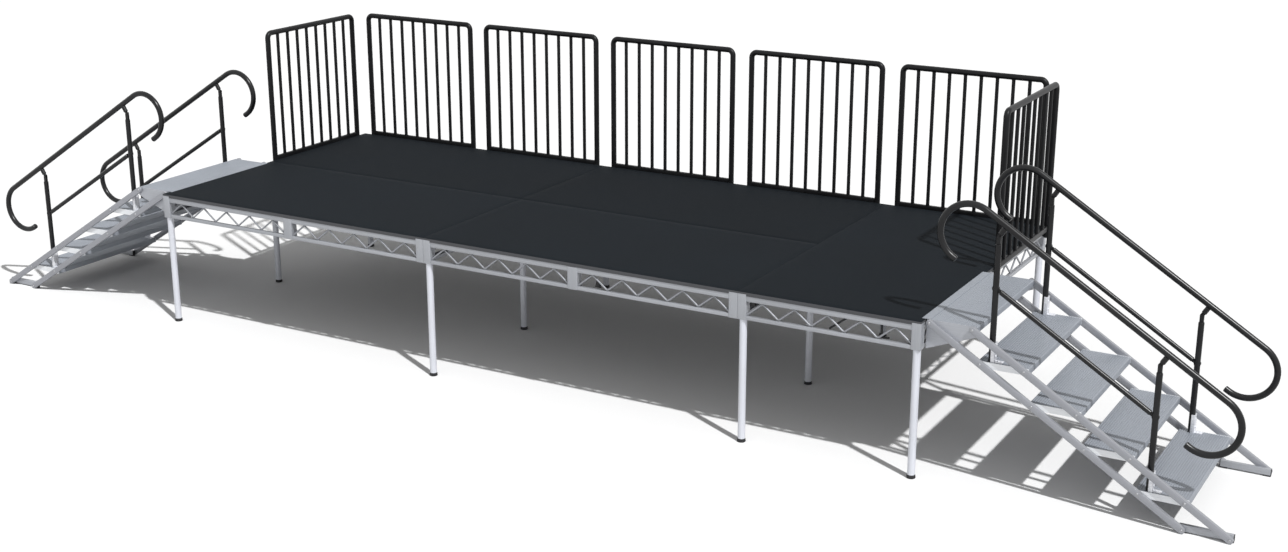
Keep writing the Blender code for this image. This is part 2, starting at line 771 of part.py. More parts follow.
def tab_with_hole(start, end, hole_at):
    """Flat tab along X from start to end, with a pin hole."""
    low, high = sorted((start, end))
    outline = [
        (low, -TAB_HEIGHT / 2),
        (high, -TAB_HEIGHT / 2),
        (high, TAB_HEIGHT / 2),
        (low, TAB_HEIGHT / 2),
    ]
    bore = bore_diameter(RAIL_PIN_DIAMETER, PIVOT_CLEARANCE, PIN_SIDES)
    hole = ring((hole_at, 0), bore, PIN_SIDES)
    return upright_plate(outline, [hole], 0, TAB_THICKNESS)


def build_handrail():
    """Top rail along X with a loop at each end and two necks, origin at its upper pin."""
    lower_pin = (RAIL_POST_TREADS[1] - RAIL_POST_TREADS[0]) * TREAD_SPACING
    rail_z = RAIL_PIN_DROP
    centre_z = rail_z - RAIL_LOOP_RADIUS
    start, end = -RAIL_UPPER_OVERHANG, lower_pin + RAIL_LOWER_OVERHANG
    path = [(start + RAIL_LOOP_TAIL, 0, centre_z - RAIL_LOOP_RADIUS)]
    for centre_x, first in ((start, -pi / 2), (end, pi / 2)):
        for step in range(RAIL_LOOP_STEPS + 1):
            angle = first - pi * step / RAIL_LOOP_STEPS
            x = centre_x + RAIL_LOOP_RADIUS * cos(angle)
            path.append((x, 0, centre_z + RAIL_LOOP_RADIUS * sin(angle)))
    path.append((end - RAIL_LOOP_TAIL, 0, centre_z - RAIL_LOOP_RADIUS))
    pieces = [bent_bar(path, RAIL_TUBE, TUBE_SIDES)]
    half = TAB_HEIGHT / 2
    bore = bore_diameter(RAIL_PIN_DIAMETER, PIVOT_CLEARANCE, PIN_SIDES)
    neck_low = FORK_WIDTH / 2 + RAIL_NECK_CLEARANCE
    for x in (0, lower_pin):
        outline = [(x - half, -half), (x + half, -half), (x + half, rail_z), (x - half, rail_z)]
        hole = ring((x, 0), bore, PIN_SIDES)
        pieces.append(upright_plate(outline, [hole], 0, TAB_THICKNESS))
        pieces.append(rod((x, 0, neck_low), (x, 0, rail_z), RAIL_NECK_DIAMETER, TUBE_SIDES))
    return combine(pieces)


def build_mid_rail():
    """Rail between the two posts of one side, origin at its upper pin."""
    lower_pin = (RAIL_POST_TREADS[1] - RAIL_POST_TREADS[0]) * TREAD_SPACING
    inset = RAIL_POST_DIAMETER
    tube = rod((inset, 0, 0), (lower_pin - inset, 0, 0), MID_RAIL_TUBE, TUBE_SIDES)
    half = TAB_HEIGHT / 2
    tabs = [
        tab_with_hole(-half / 2, inset + half, 0),
        tab_with_hole(lower_pin + half / 2, lower_pin - inset - half, lower_pin),
    ]
    return combine([tube, *tabs])


def build_hanger():
    """Plate between the stage and the landing, hooked over the panel frame's lower chord."""
    top = DECK_HEIGHT - BOARD_THICKNESS - CHORD_STEP
    bottom = DECK_HEIGHT - FRAME_DEPTH
    half = TREAD_WIDTH / 2 - CORNER_POST_SIZE
    seam = PANEL_SEAM / 2
    front = STAIR_STANDOFF - FIT_GAP
    plate = box((FIT_GAP - seam, -half, bottom), (front, half, top))
    chord_top = bottom + CHORD_STEP + BOTTOM_CHORD_HEIGHT + FIT_GAP
    chord_back = -seam - CHORD_SETBACK - CHORD_WIDTH - FIT_GAP
    pieces = [plate]
    face = PANEL_WIDTH / 2 - seam - CORNER_POST_SIZE
    count = max(1, round(2 * face / WEB_PITCH))
    pitch = 2 * face / count
    last = count - 1
    for index in (1, last - 1):
        middle = -face + (index + 0.5) * pitch
        y_low, y_high = middle - HANGER_HOOK_WIDTH / 2, middle + HANGER_HOOK_WIDTH / 2
        arm_top = chord_top + HANGER_HOOK_THICKNESS
        back = chord_back - HANGER_HOOK_THICKNESS
        pieces.append(box((back, y_low, chord_top), (front / 2, y_high, arm_top)))
        pieces.append(box((back, y_low, chord_top - HANGER_HOOK_DROP), (chord_back, y_high, arm_top)))
    return combine(pieces)


def build_stair_meshes():
    """Meshes that both stairs share."""
    return {
        "landing": build_landing(),
        "hanger": build_hanger(),
        "plain tread": build_tread(False),
        "post tread": build_tread(True),
        "stringer": build_stringer(),
        "foot bar -1": build_foot_bar(-1),
        "foot bar 1": build_foot_bar(1),
        "handrail": build_handrail(),
        "mid rail": build_mid_rail(),
    }


def build_stair(end, outward, meshes):
    """One stair. Its own +X points away from the stage, and its own sides are -1 and +1."""
    turn = 0.0 if outward > 0 else pi
    base = add_empty(
        f"{end}_stair",
        (outward * STAGE_LENGTH / 2, MIDDLE_Y - PANEL_WIDTH / 2, 0),
        rotation=(0, 0, turn),
    )
    slope = (0, STAIR_ANGLE, 0)
    side_names = {side: "front" if side * outward < 0 else "back" for side in (-1, 1)}
    add_node(f"{end}_landing", meshes["landing"], "aluminium", base)
    add_node(f"{end}_hanger_plate", meshes["hanger"], "aluminium", base)

    first_x = STAIR_STANDOFF + PIVOT_INSET
    first_z = DECK_HEIGHT - PIVOT_DROP
    for level, offset in (("lower", 0.0), ("upper", LINK_LENGTH)):
        pivot = add_empty(f"{end}_{level}_stringer_pivot", (first_x + offset, 0, first_z), base, slope)
        for side, side_name in side_names.items():
            add_node(
                f"{end}_{level}_stringer_{side_name}",
                meshes["stringer"],
                "aluminium",
                pivot,
                (0, side * STRINGER_Y, 0),
            )
    for number in range(2, TREAD_COUNT + 1):
        steps = number - 1
        place = (first_x + steps * TREAD_RUN, 0, first_z - steps * TREAD_RISE)
        pivot = add_empty(f"{end}_tread_{number}_pivot", place, base)
        kind = "post tread" if number in RAIL_POST_TREADS else "plain tread"
        add_node(f"{end}_tread_{number}", meshes[kind], "aluminium", pivot)
    foot_x = first_x + STRINGER_LENGTH * cos(STAIR_ANGLE)
    pivot = add_empty(f"{end}_foot_bar_pivot", (foot_x, 0, FOOT_PIVOT_HEIGHT), base)
    for side, side_name in side_names.items():
        add_node(f"{end}_foot_bar_{side_name}", meshes[f"foot bar {side}"], "aluminium", pivot)

    steps = RAIL_POST_TREADS[0] - 1
    post_x = STAIR_STANDOFF + steps * TREAD_RUN + RAIL_POST_BACK_INSET
    surface = DECK_HEIGHT - steps * TREAD_RISE
    for piece, mesh_name, height in (
        ("handrail", "handrail", RAIL_PIN_HEIGHT),
        ("mid_rail", "mid rail", MID_RAIL_PIN_HEIGHT),
    ):
        pivot = add_empty(f"{end}_{piece}_pivot", (post_x, 0, surface + height), base, slope)
        for side, side_name in side_names.items():
            add_node(
                f"{end}_{piece}_{side_name}",
                meshes[mesh_name],
                "black steel",
                pivot,
                (0, side * POST_Y, 0),
            )


def main():
    build_stage()
    meshes = build_stair_meshes()
    build_stair("left", -1, meshes)
    build_stair("right", 1, meshes)


main()
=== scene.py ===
"""The stage platform dressed for its photograph: trussed deck panels on legs, guardrails round the
back half, and a folding stair at each end. Metres, +Z up, in the loaded model's own frame.
"""

from math import atan2, cos, pi, radians, sin, tan, tau
import json

import bmesh
import bpy
from bmesh.types import BMEdge, BMFace, BMVert
from mathutils import Matrix, Vector


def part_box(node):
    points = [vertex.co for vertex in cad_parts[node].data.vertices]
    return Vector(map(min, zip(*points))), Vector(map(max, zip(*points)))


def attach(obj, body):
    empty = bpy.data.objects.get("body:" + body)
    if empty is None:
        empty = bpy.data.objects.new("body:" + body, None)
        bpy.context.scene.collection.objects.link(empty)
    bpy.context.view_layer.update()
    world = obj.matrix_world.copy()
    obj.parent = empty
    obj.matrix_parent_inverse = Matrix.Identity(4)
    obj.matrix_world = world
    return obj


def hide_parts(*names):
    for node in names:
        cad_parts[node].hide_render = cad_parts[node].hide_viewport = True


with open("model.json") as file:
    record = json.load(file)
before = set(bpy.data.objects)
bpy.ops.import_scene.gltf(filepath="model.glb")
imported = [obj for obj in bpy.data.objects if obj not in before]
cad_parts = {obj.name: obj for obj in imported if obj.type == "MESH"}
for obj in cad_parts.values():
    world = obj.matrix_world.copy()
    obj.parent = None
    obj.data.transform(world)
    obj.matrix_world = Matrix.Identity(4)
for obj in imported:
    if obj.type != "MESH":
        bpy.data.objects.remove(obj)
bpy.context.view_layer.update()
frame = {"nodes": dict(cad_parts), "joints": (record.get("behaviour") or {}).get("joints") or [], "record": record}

# Camera, sun, sky and floor
# The camera stands where the deck's seams in the photograph put it. A high sun from the right and
# front throws the shadows back and to the left over a white floor, and the sky is brighter in front.
CAMERA_PLACE = (6.450, -10.4949, 4.313)
CAMERA_TILT = radians(72.79)
CAMERA_TURN = radians(29.77)
CAMERA_LENS = 48.50
CAMERA_SENSOR = 36.0
CAMERA_REACH = 200.0
SUN_HEIGHT = radians(53.0)
SUN_HEADING = radians(151.5)
SUN_STRENGTH = 2.95
SUN_WIDTH = radians(1.4)
SKY_LIGHT = 0.31
SKY_LEAN = 1.0
FLOOR_REACH = 60.0
FLOOR_DROP = 0.0006
FLOOR_TONE = (0.82, 0.82, 0.82)
WHITE = (1.0, 1.0, 1.0)

scene = bpy.context.scene
scene.view_settings.view_transform = "Standard"
camera = bpy.data.objects.new("camera", bpy.data.cameras.new("camera"))
camera.data.sensor_width = CAMERA_SENSOR
camera.data.lens = CAMERA_LENS
camera.data.clip_end = CAMERA_REACH
camera.location = CAMERA_PLACE
camera.rotation_euler = (CAMERA_TILT, 0.0, CAMERA_TURN)
scene.collection.objects.link(camera)
scene.camera = camera

sun = bpy.data.objects.new("sun", bpy.data.lights.new("sun", "SUN"))
sun.data.energy = SUN_STRENGTH
sun.data.angle = SUN_WIDTH
level = cos(SUN_HEIGHT)
sun_ray = Vector((cos(SUN_HEADING) * level, sin(SUN_HEADING) * level, -sin(SUN_HEIGHT)))
sun.rotation_euler = sun_ray.to_track_quat("-Z", "Y").to_euler()
scene.collection.objects.link(sun)


class Signal:
    """A node's output socket that can stand in sums."""

    def __init__(self, finish, socket):
        self.finish = finish
        self.socket = socket

    def maths(self, operation, *values):
        return self.finish.node("ShaderNodeMath", {"operation": operation}, dict(enumerate(values)))

    def __add__(self, other):
        return self.maths("ADD", self, other)

    def __sub__(self, other):
        return self.maths("SUBTRACT", self, other)

    def __rsub__(self, other):
        return self.maths("SUBTRACT", other, self)

    def __mul__(self, other):
        return self.maths("MULTIPLY", self, other)

    def kept(self):
        """The value kept between 0 and 1."""
        return self.maths("MINIMUM", self.maths("MAXIMUM", self, 0.0), 1.0)

    def between(self, low, high):
        """0 at low, 1 at high, and straight between them."""
        sockets = {"Value": self, "From Min": low, "From Max": high}
        return self.finish.node("ShaderNodeMapRange", {"clamp": True}, sockets)

    __radd__ = __add__
    __rmul__ = __mul__


def colour_of(value):
    """A socket as it is, or a plain tone with its alpha."""
    return value if isinstance(value, Signal) else (*value, 1.0)


class Finish:
    """A node tree that is filled one node at a time, and the shader that it feeds."""

    def __init__(self, tree, shader):
        self.tree = tree
        self.shader = tree.nodes[shader]

    def node(self, kind, settings=None, sockets=None, output=0):
        made = self.tree.nodes.new(kind)
        for name, value in (settings or {}).items():
            setattr(made, name, value)
        for name, value in (sockets or {}).items():
            self.plug(made.inputs[name], value)
        return Signal(self, made.outputs[output])

    def plug(self, socket, value):
        if isinstance(value, Signal):
            self.tree.links.new(value.socket, socket)
        else:
            socket.default_value = value

    def feed(self, **sockets):
        """Sets the shader's own sockets, or links them."""
        for name, value in sockets.items():
            self.plug(self.shader.inputs[name.replace("_", " ")], value)

    def mix(self, share, first, second):
        """A colour from first to second: a Mix node's inputs 6 and 7, and its output 2."""
        sockets = {0: share, 6: colour_of(first), 7: colour_of(second)}
        return self.node("ShaderNodeMix", {"data_type": "RGBA"}, sockets, output=2)

    def noise(self, place, size, detail, roughness=0.5):
        """Cloudy noise whose cells are about size metres."""
        sockets = {"Vector": place, "Scale": 1.0 / size, "Detail": detail, "Roughness": roughness}
        return self.node("ShaderNodeTexNoise", None, sockets)

    def bump(self, height, strength, distance):
        """Fine relief for the shader's Normal."""
        sockets = {"Strength": strength, "Distance": distance, "Height": height}
        return self.node("ShaderNodeBump", None, sockets)

    def place(self, turn=(0.0, 0.0, 0.0), scale=(1.0, 1.0, 1.0)):
        """Object coordinates, turned and then stretched."""
        found = self.node("ShaderNodeTexCoord", output="Object")
        turned = self.node("ShaderNodeMapping", None, {"Vector": found, "Rotation": turn})
        return self.node("ShaderNodeMapping", None, {"Vector": turned, "Scale": scale})


def new_finish(name, **sockets):
    """A material with one Principled shader, whose plain sockets are set here."""
    material = bpy.data.materials.new(name)
    material.use_nodes = True
    finish = Finish(material.node_tree, "Principled BSDF")
    finish.feed(**sockets)
    return material, finish


def ray_is(finish, kind):
    """1 for rays of one kind, such as the camera's own, and 0 for the others."""
    return finish.node("ShaderNodeLightPath", output=f"Is {kind} Ray")


world = bpy.data.worlds.new("sky")
scene.world = world
world.use_nodes = True
sky = Finish(world.node_tree, "Background")
seen = (ray_is(sky, "Camera") + ray_is(sky, "Glossy") + ray_is(sky, "Transmission")).kept()
heading = {"Vector": sky.node("ShaderNodeTexCoord", output="Generated")}
backward = sky.node("ShaderNodeSeparateXYZ", None, heading, output="Y")
sky_glow = (1.0 - backward * SKY_LEAN) * SKY_LIGHT
sky.feed(Color=colour_of(WHITE), Strength=seen * (1.0 - sky_glow) + sky_glow)

floor_finish, finish = new_finish("floor", Roughness=0.9, Specular_IOR_Level=0.0)
finish.feed(Base_Color=finish.mix(ray_is(finish, "Camera"), FLOOR_TONE, WHITE))
floor_shape = bmesh.new()
bmesh.ops.create_grid(floor_shape, x_segments=1, y_segments=1, size=FLOOR_REACH)
floor_mesh = bpy.data.meshes.new("floor")
floor_shape.to_mesh(floor_mesh)
floor_mesh.materials.append(floor_finish)
floor = bpy.data.objects.new("floor", floor_mesh)
floor.location = (0.0, 0.0, -FLOOR_DROP)
scene.collection.objects.link(floor)

# Panel frames
# Each deck panel has a welded frame of light metal: square posts at its corners, which take the legs,
# and halfway along its long sides. Two chords with a bent rod zigzagging between them join the posts
# on every side, and three tubes cross under the board.
board_low, board_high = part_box("deck_board_front_left")
DECK_HEIGHT = board_high.z
HALF_LENGTH = (board_high.x - board_low.x) / 2
HALF_WIDTH = (board_high.y - board_low.y) / 2
BOARD_THICKNESS = 0.0254
BOARD_GAP = 0.0003
FRAME_DEPTH = 0.184
POST_SIZE = 0.061
POST_DROP = 0.013
POST_EDGE = 0.0035
MIDDLE_POST = 0.076
MIDDLE_POST_DROP = BOARD_THICKNESS + 0.002
CHORD_WIDTH = 0.0254
CHORD_SETBACK = 0.004
CHORD_EDGE = 0.0022
CHORD_SEAT = 0.002
CHORD_LIFT = 0.002
TOP_CHORD = 0.0356
BOTTOM_CHORD = 0.0254
TOP_CHORD_LOW = -BOARD_THICKNESS - TOP_CHORD
BOTTOM_CHORD_LOW = -FRAME_DEPTH + CHORD_LIFT
BOTTOM_CHORD_HIGH = BOTTOM_CHORD_LOW + BOTTOM_CHORD
WEB_ROD = 0.0127
WEB_PITCH = 0.22
WEB_BEND = 0.016
WEB_BEND_STEPS = 5
WEB_SEAT = WEB_ROD * 0.25
BEAD_RADIUS = 0.0063
BEAD_FLATNESS = 0.55
BEAD_SPREAD = WEB_ROD * 0.6
JOIST_WIDTH = 0.038
JOIST_HEIGHT = 0.030
JOIST_COUNT = 3
JOIST_DROP = BOARD_THICKNESS + 0.004
JOIST_EDGE = 0.002
DRAWN_ALONG = 0.35
DRAWN_ACROSS = 26.0
FRAME_TONE = (0.405, 0.42, 0.45)
# The web rods' tone is set darker than the frames', which paints shade onto the rods.
ROD_PAINTED_SHADE_TONE = (0.30, 0.31, 0.335)
SMOOTH_TO = radians(35.0)
ALONG_X = Vector((1, 0, 0))
ALONG_Y = Vector((0, 1, 0))
UP = Vector((0, 0, 1))
PANELS = ("front_left", "front_middle", "right_end", "back_left", "back_middle")


def shade(tone, level):
    """A tone made darker or lighter."""
    return tuple(min(1.0, part * level) for part in tone)


def drawn_metal(name, along, tone, roughness, metallic, turn=(0.0, 0.0, 0.0)):
    """Mill-finish metal: fine lines along the way it was drawn, dull patches and a few scuffs."""
    material, finish = new_finish(name, Metallic=metallic)
    stretch = tuple(DRAWN_ALONG if axis == along else DRAWN_ACROSS for axis in "XYZ")
    lines = finish.noise(finish.place(turn, stretch), size=0.08, detail=4.0, roughness=0.7)
    cloud = finish.noise(finish.place(), size=0.35, detail=5.0)
    scuffs = finish.noise(finish.place(), size=0.012, detail=2.0).between(0.66, 0.74)
    streaks = (lines * 0.65 + cloud * 0.35).between(0.30, 0.70)
    colour = finish.mix(streaks, shade(tone, 0.86), shade(tone, 1.10))
    finish.feed(
        Base_Color=finish.mix(scuffs * 0.25, colour, shade(tone, 0.7)),
        Roughness=lines * 0.16 + cloud * 0.14 + (roughness - 0.15),
        Normal=finish.bump(lines, strength=0.12, distance=0.0006),
    )
    return material


def of_kind(items, kind):
    """The points, edges or faces among what an operator made."""
    return [item for item in items if isinstance(item, kind)]


def edges_between(verts):
    """The edges that have both ends among the points."""
    known = set(verts)
    nearby = dict.fromkeys(edge for vert in verts for edge in vert.link_edges)
    return [edge for edge in nearby if known.issuperset(edge.verts)]


def added(shape, before):
    """The faces that weren't there before."""
    return [face for face in shape.faces if face not in before]


def round_edges(shape, edges, width, segments=2):
    bmesh.ops.bevel(
        shape, geom=edges, offset=width, segments=segments, profile=0.5, affect="EDGES", material=-1
    )


def block(shape, low, high, edge, segments=2):
    """A block between two corners, with its edges rounded."""
    low, high = Vector(low), Vector(high)
    place = Matrix.Translation((low + high) / 2) @ Matrix.Diagonal((high - low).to_4d())
    verts = bmesh.ops.create_cube(shape, size=1.0, matrix=place)["verts"]
    round_edges(shape, edges_between(verts), edge, segments)


def draw_tube(shape, radius, start, heading, runs, sides):
    """A round tube through straight runs and bends, closed at both ends.

    A run is a length, or a bend as (angle, bend radius, axis, steps).
    """
    point, heading = Vector(start), Vector(heading).normalized()
    place = Matrix.Translation(point) @ heading.to_track_quat("Z", "Y").to_matrix().to_4x4()
    before = set(shape.faces)
    ring = bmesh.ops.create_circle(shape, segments=sides, radius=radius, matrix=place)["verts"]
    first = last = edges_between(ring)
    for run in runs:
        if isinstance(run, tuple):
            angle, bend, axis, steps = run
            axis = Vector(axis)
            centre = point + axis.cross(heading) * bend * (1 if angle > 0 else -1)
            made = bmesh.ops.spin(
                shape, geom=last, cent=centre, axis=axis, angle=angle, steps=steps, use_merge=False
            )
            last = of_kind(made["geom_last"], BMEdge)
            turn = Matrix.Rotation(angle, 3, axis)
            point = centre + turn @ (point - centre)
            heading = turn @ heading
        else:
            verts = of_kind(bmesh.ops.extrude_edge_only(shape, edges=last)["geom"], BMVert)
            bmesh.ops.translate(shape, verts=verts, vec=heading * run)
            last = edges_between(verts)
            point = point + heading * run
    for loop in (first, last):
        bmesh.ops.edgeloop_fill(shape, edges=loop)
    bmesh.ops.recalc_face_normals(shape, faces=added(shape, before))


body_of_node = {
    node: name
    for name, nodes in frame["record"]["behaviour"]["bodies"].items()
    for node in nodes
}


def settle(shape, name, node, finishes, place, replaced=True):
    """Makes a shape the piece that stands for a node, at its place and on the node's body."""
    mesh = bpy.data.meshes.new(name)
    shape.to_mesh(mesh)
    mesh.transform(place)
    mesh.shade_smooth()
    mesh.set_sharp_from_angle(angle=SMOOTH_TO)
    for finish in finishes:
        mesh.materials.append(finish)
    piece = bpy.data.objects.new(name, mesh)
    scene.collection.objects.link(piece)
    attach(piece, body_of_node[node])
    if replaced:
        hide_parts(node)


def panel_place(panel):
    """A panel's own frame, with its long side along X and z = 0 on the deck, and if it lies crosswise."""
    low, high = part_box(f"deck_board_{panel}")
    crosswise = high.y - low.y > high.x - low.x
    middle = Matrix.Translation(((low.x + high.x) / 2, (low.y + high.y) / 2, DECK_HEIGHT))
    return middle @ Matrix.Rotation(-pi / 2 if crosswise else 0.0, 4, "Z"), crosswise


def bent_web(shape, start, end, along, across):
    """The zigzag rod between two posts of one side, low at both ends, with beads where it is welded."""
    peaks = max(1, round((end - start) / WEB_PITCH))
    low = BOTTOM_CHORD_HIGH + WEB_SEAT
    step = (end - start) / (2 * peaks)
    rise = TOP_CHORD_LOW - WEB_SEAT - low
    slope = atan2(rise, step)
    tangent = WEB_BEND * tan(slope)
    length = (step**2 + rise**2) ** 0.5
    axis = UP.cross(along)
    runs = [length - tangent]
    for index in range(1, 2 * peaks):
        runs.append((2 * slope if index % 2 else -2 * slope, WEB_BEND, axis, WEB_BEND_STEPS))
        runs.append(length - 2 * tangent if index < 2 * peaks - 1 else length - tangent)
    origin = along * start + across + UP * low
    draw_tube(shape, WEB_ROD / 2, origin, along * cos(slope) + UP * sin(slope), runs, sides=12)
    for index in range(2 * peaks + 1):
        height = TOP_CHORD_LOW if index % 2 else BOTTOM_CHORD_HIGH
        for beside in (-BEAD_SPREAD, BEAD_SPREAD):
            middle = along * (start + step * index + beside) + across + UP * height
            place = Matrix.Translation(middle) @ Matrix.Diagonal((1.0, 1.0, BEAD_FLATNESS, 1.0))
            bmesh.ops.create_icosphere(shape, subdivisions=1, radius=BEAD_RADIUS, matrix=place)


def truss_side(chords, rods, along, across, end, bays):
    """The two chords of one side, and a bent rod in each bay between its posts."""
    corner = along * end + Vector((along.y, along.x, 0)) * CHORD_WIDTH / 2
    for low, high in ((TOP_CHORD_LOW, -BOARD_THICKNESS - BOARD_GAP), (BOTTOM_CHORD_LOW, BOTTOM_CHORD_HIGH)):
        block(chords, across - corner + UP * low, across + corner + UP * high, CHORD_EDGE)
    for start, stop in bays:
        bent_web(rods, start, stop, along, across)


def upright(shape, x, y, half, top):
    """A post from the frame's underside up to a height."""
    depth = POST_SIZE / 2
    block(shape, (x - half, y - depth, -FRAME_DEPTH), (x + half, y + depth, top), POST_EDGE, segments=3)


posts, long_chords, end_chords, web_rods, joists = [bmesh.new() for part in range(5)]
long_end = HALF_LENGTH - POST_SIZE + CHORD_SEAT
short_end = HALF_WIDTH - POST_SIZE + CHORD_SEAT
for side in (-1, 1):
    corner_x = HALF_LENGTH - POST_SIZE / 2
    post_y = side * (HALF_WIDTH - POST_SIZE / 2)
    upright(posts, -corner_x, post_y, POST_SIZE / 2, -POST_DROP)
    upright(posts, corner_x, post_y, POST_SIZE / 2, -POST_DROP)
    upright(posts, 0.0, post_y, MIDDLE_POST / 2, -MIDDLE_POST_DROP)
    across = ALONG_Y * side * (HALF_WIDTH - CHORD_SETBACK - CHORD_WIDTH / 2)
    bays = ((-long_end, -MIDDLE_POST / 2), (MIDDLE_POST / 2, long_end))
    truss_side(long_chords, web_rods, ALONG_X, across, long_end, bays)
    across = ALONG_X * side * (HALF_LENGTH - CHORD_SETBACK - CHORD_WIDTH / 2)
    truss_side(end_chords, web_rods, ALONG_Y, across, short_end, ((-short_end, short_end),))
for index in range(JOIST_COUNT):
    x = 2 * HALF_LENGTH * ((index + 1) / (JOIST_COUNT + 1) - 0.5)
    y = HALF_WIDTH - CHORD_SETBACK - CHORD_WIDTH
    low, high = -JOIST_DROP - JOIST_HEIGHT, -JOIST_DROP
    block(joists, (x - JOIST_WIDTH / 2, -y, low), (x + JOIST_WIDTH / 2, y, high), JOIST_EDGE)

metal_x, metal_y, metal_z = (
    drawn_metal(f"frame_metal_{axis.lower()}", axis, FRAME_TONE, roughness=0.40, metallic=0.35)
    for axis in "XYZ"
)
# Painted shade: the rods get a darker copy of the frame metal.
rod_painted_shade = drawn_metal("web_rod_painted_shade", "Z", ROD_PAINTED_SHADE_TONE, roughness=0.36, metallic=0.3)
for panel in PANELS:
    place, crosswise = panel_place(panel)
    long_metal, short_metal = (metal_y, metal_x) if crosswise else (metal_x, metal_y)
    for shape, part, metal in (
        (posts, "posts", metal_z),
        (long_chords, "long_chords", long_metal),
        (end_chords, "end_chords", short_metal),
        (web_rods, "web_rods", rod_painted_shade),
        (joists, "joists", short_metal),
    ):
        settle(shape, f"{panel}_{part}", f"deck_frame_{panel}", [metal], place)

# Deck boards
# One coated plywood board for each panel, notched underneath for the corner posts. The top has a
# dark, slightly rough coat; the edge shows the plies, and the underside is stained dark.
BOARD_NOTCH = 0.0127
BOARD_EDGE = 0.0016
CREASE = 1.2
DECK_TONE = (0.0130, 0.0160, 0.0195)
PANEL_SHADES = (1.0, 1.0, 0.98, 0.84, 0.82)
PLY_TONES = ((0.050, 0.052, 0.058), (0.085, 0.086, 0.092))
UNDERSIDE_TONES = ((0.026, 0.025, 0.024), (0.048, 0.046, 0.044))


def sink(shape, faces, depth):
    """Pushes a copy of the faces down and walls its sides."""
    made = bmesh.ops.extrude_face_region(shape, geom=faces)["geom"]
    bmesh.ops.translate(shape, verts=of_kind(made, BMVert), vec=(0, 0, -depth))
    return of_kind(made, BMFace)


def over_post(face):
    middle = face.calc_center_median()
    return abs(middle.x) > HALF_LENGTH - POST_SIZE and abs(middle.y) > HALF_WIDTH - POST_SIZE


def deck_coat(name, tone):
    """Dark resin coat with a fine pebble, worn paths and a few scuffs."""
    material, finish = new_finish(name, Specular_IOR_Level=0.03)
    cloud = finish.noise(finish.place(), size=0.9, detail=6.0, roughness=0.6)
    pebble = finish.noise(finish.place(), size=0.004, detail=2.0)
    paths = finish.place(turn=(0.0, 0.0, 0.5), scale=(1.0, 7.0, 1.0))
    scuffs = finish.noise(paths, size=0.5, detail=7.0, roughness=0.7).between(0.60, 0.74)
    worn = scuffs * cloud.between(0.42, 0.62)
    colour = finish.mix(cloud.between(0.30, 0.70), shade(tone, 0.86), shade(tone, 1.16))
    colour = finish.mix(worn * 0.30, colour, shade(tone, 1.8))
    finish.feed(
        Base_Color=finish.mix(pebble.between(0.35, 0.65) * 0.25, colour, shade(tone, 0.7)),
        Roughness=cloud * 0.16 + worn * 0.10 + 0.60,
        Normal=finish.bump(pebble, strength=0.25, distance=0.0008),
    )
    return material


def ply_edge():
    """Sawn plywood edge: thin layers of two dark greys, clouded."""
    material, finish = new_finish("board_edge", Roughness=0.75)
    sockets = {"Vector": finish.place(), "Scale": 60.0, "Distortion": 0.6}
    layers = finish.node("ShaderNodeTexWave", {"bands_direction": "Z"}, sockets, output="Fac")
    cloud = finish.noise(finish.place(), size=0.03, detail=4.0)
    finish.feed(Base_Color=finish.mix(layers * 0.6 + cloud * 0.3, *PLY_TONES))
    return material


def board_underside():
    """Plywood stained almost black, with long grain."""
    material, finish = new_finish("board_underside", Roughness=0.7)
    grain = finish.noise(finish.place(scale=(1.0, 18.0, 18.0)), size=0.12, detail=6.0, roughness=0.65)
    finish.feed(Base_Color=finish.mix(grain.between(0.30, 0.70), *UNDERSIDE_TONES))
    return material


board = bmesh.new()
bmesh.ops.create_grid(board, x_segments=3, y_segments=3, size=1.0)
for vert in board.verts:
    for index, half in ((0, HALF_LENGTH), (1, HALF_WIDTH)):
        side = 1 if vert.co[index] > 0 else -1
        outer = abs(vert.co[index]) > 0.5
        vert.co[index] = side * (half if outer else half - POST_SIZE - BOARD_GAP)
lowered = [face for face in sink(board, list(board.faces), BOARD_NOTCH) if not over_post(face)]
sink(board, lowered, BOARD_THICKNESS - BOARD_NOTCH)
bmesh.ops.delete(board, geom=lowered, context="FACES")
bmesh.ops.recalc_face_normals(board, faces=board.faces)
top_edges = [edge for edge in board.edges if all(vert.co.z > -BOARD_GAP for vert in edge.verts)]
round_edges(board, [edge for edge in top_edges if edge.calc_face_angle() > CREASE], BOARD_EDGE)
for face in board.faces:
    face.material_index = 0 if face.normal.z > 0.3 else 2 if face.normal.z < -0.3 else 1
edge_finish, underside_finish = ply_edge(), board_underside()
for panel, level in zip(PANELS, PANEL_SHADES):
    finishes = [deck_coat(f"deck_coat_{panel}", shade(DECK_TONE, level)), edge_finish, underside_finish]
    settle(board, f"{panel}_board", f"deck_board_{panel}", finishes, panel_place(panel)[0])

# Legs
# Eleven drawn tubes plugged into the corner posts, each standing in a black rubber foot that narrows
# to a thin rim round the tube.
LEG_RADIUS = 0.0483 / 2
LEG_TONE = (0.70, 0.72, 0.78)
FOOT_HEIGHT = 0.023
FOOT_RADIUS = 0.057 / 2
FOOT_SOLE = 0.006
FOOT_EDGE = 0.003
FOOT_SHOULDER = 0.009
FOOT_DRAFT = 0.0005
FOOT_WALL = 0.0022
FOOT_RIM = 0.0010
FOOT_RIM_HEIGHT = 0.002
SEAM = 0.00001
RUBBER_TONE = (0.018, 0.018, 0.020)
DUST_TONE = (0.05, 0.05, 0.052)


def nodes_named(start):
    return sorted(name for name in frame["nodes"] if name.startswith(start))


def points_of(faces):
    """The points of the faces, each of them once."""
    return list(dict.fromkeys(vert for face in faces for vert in face.verts))


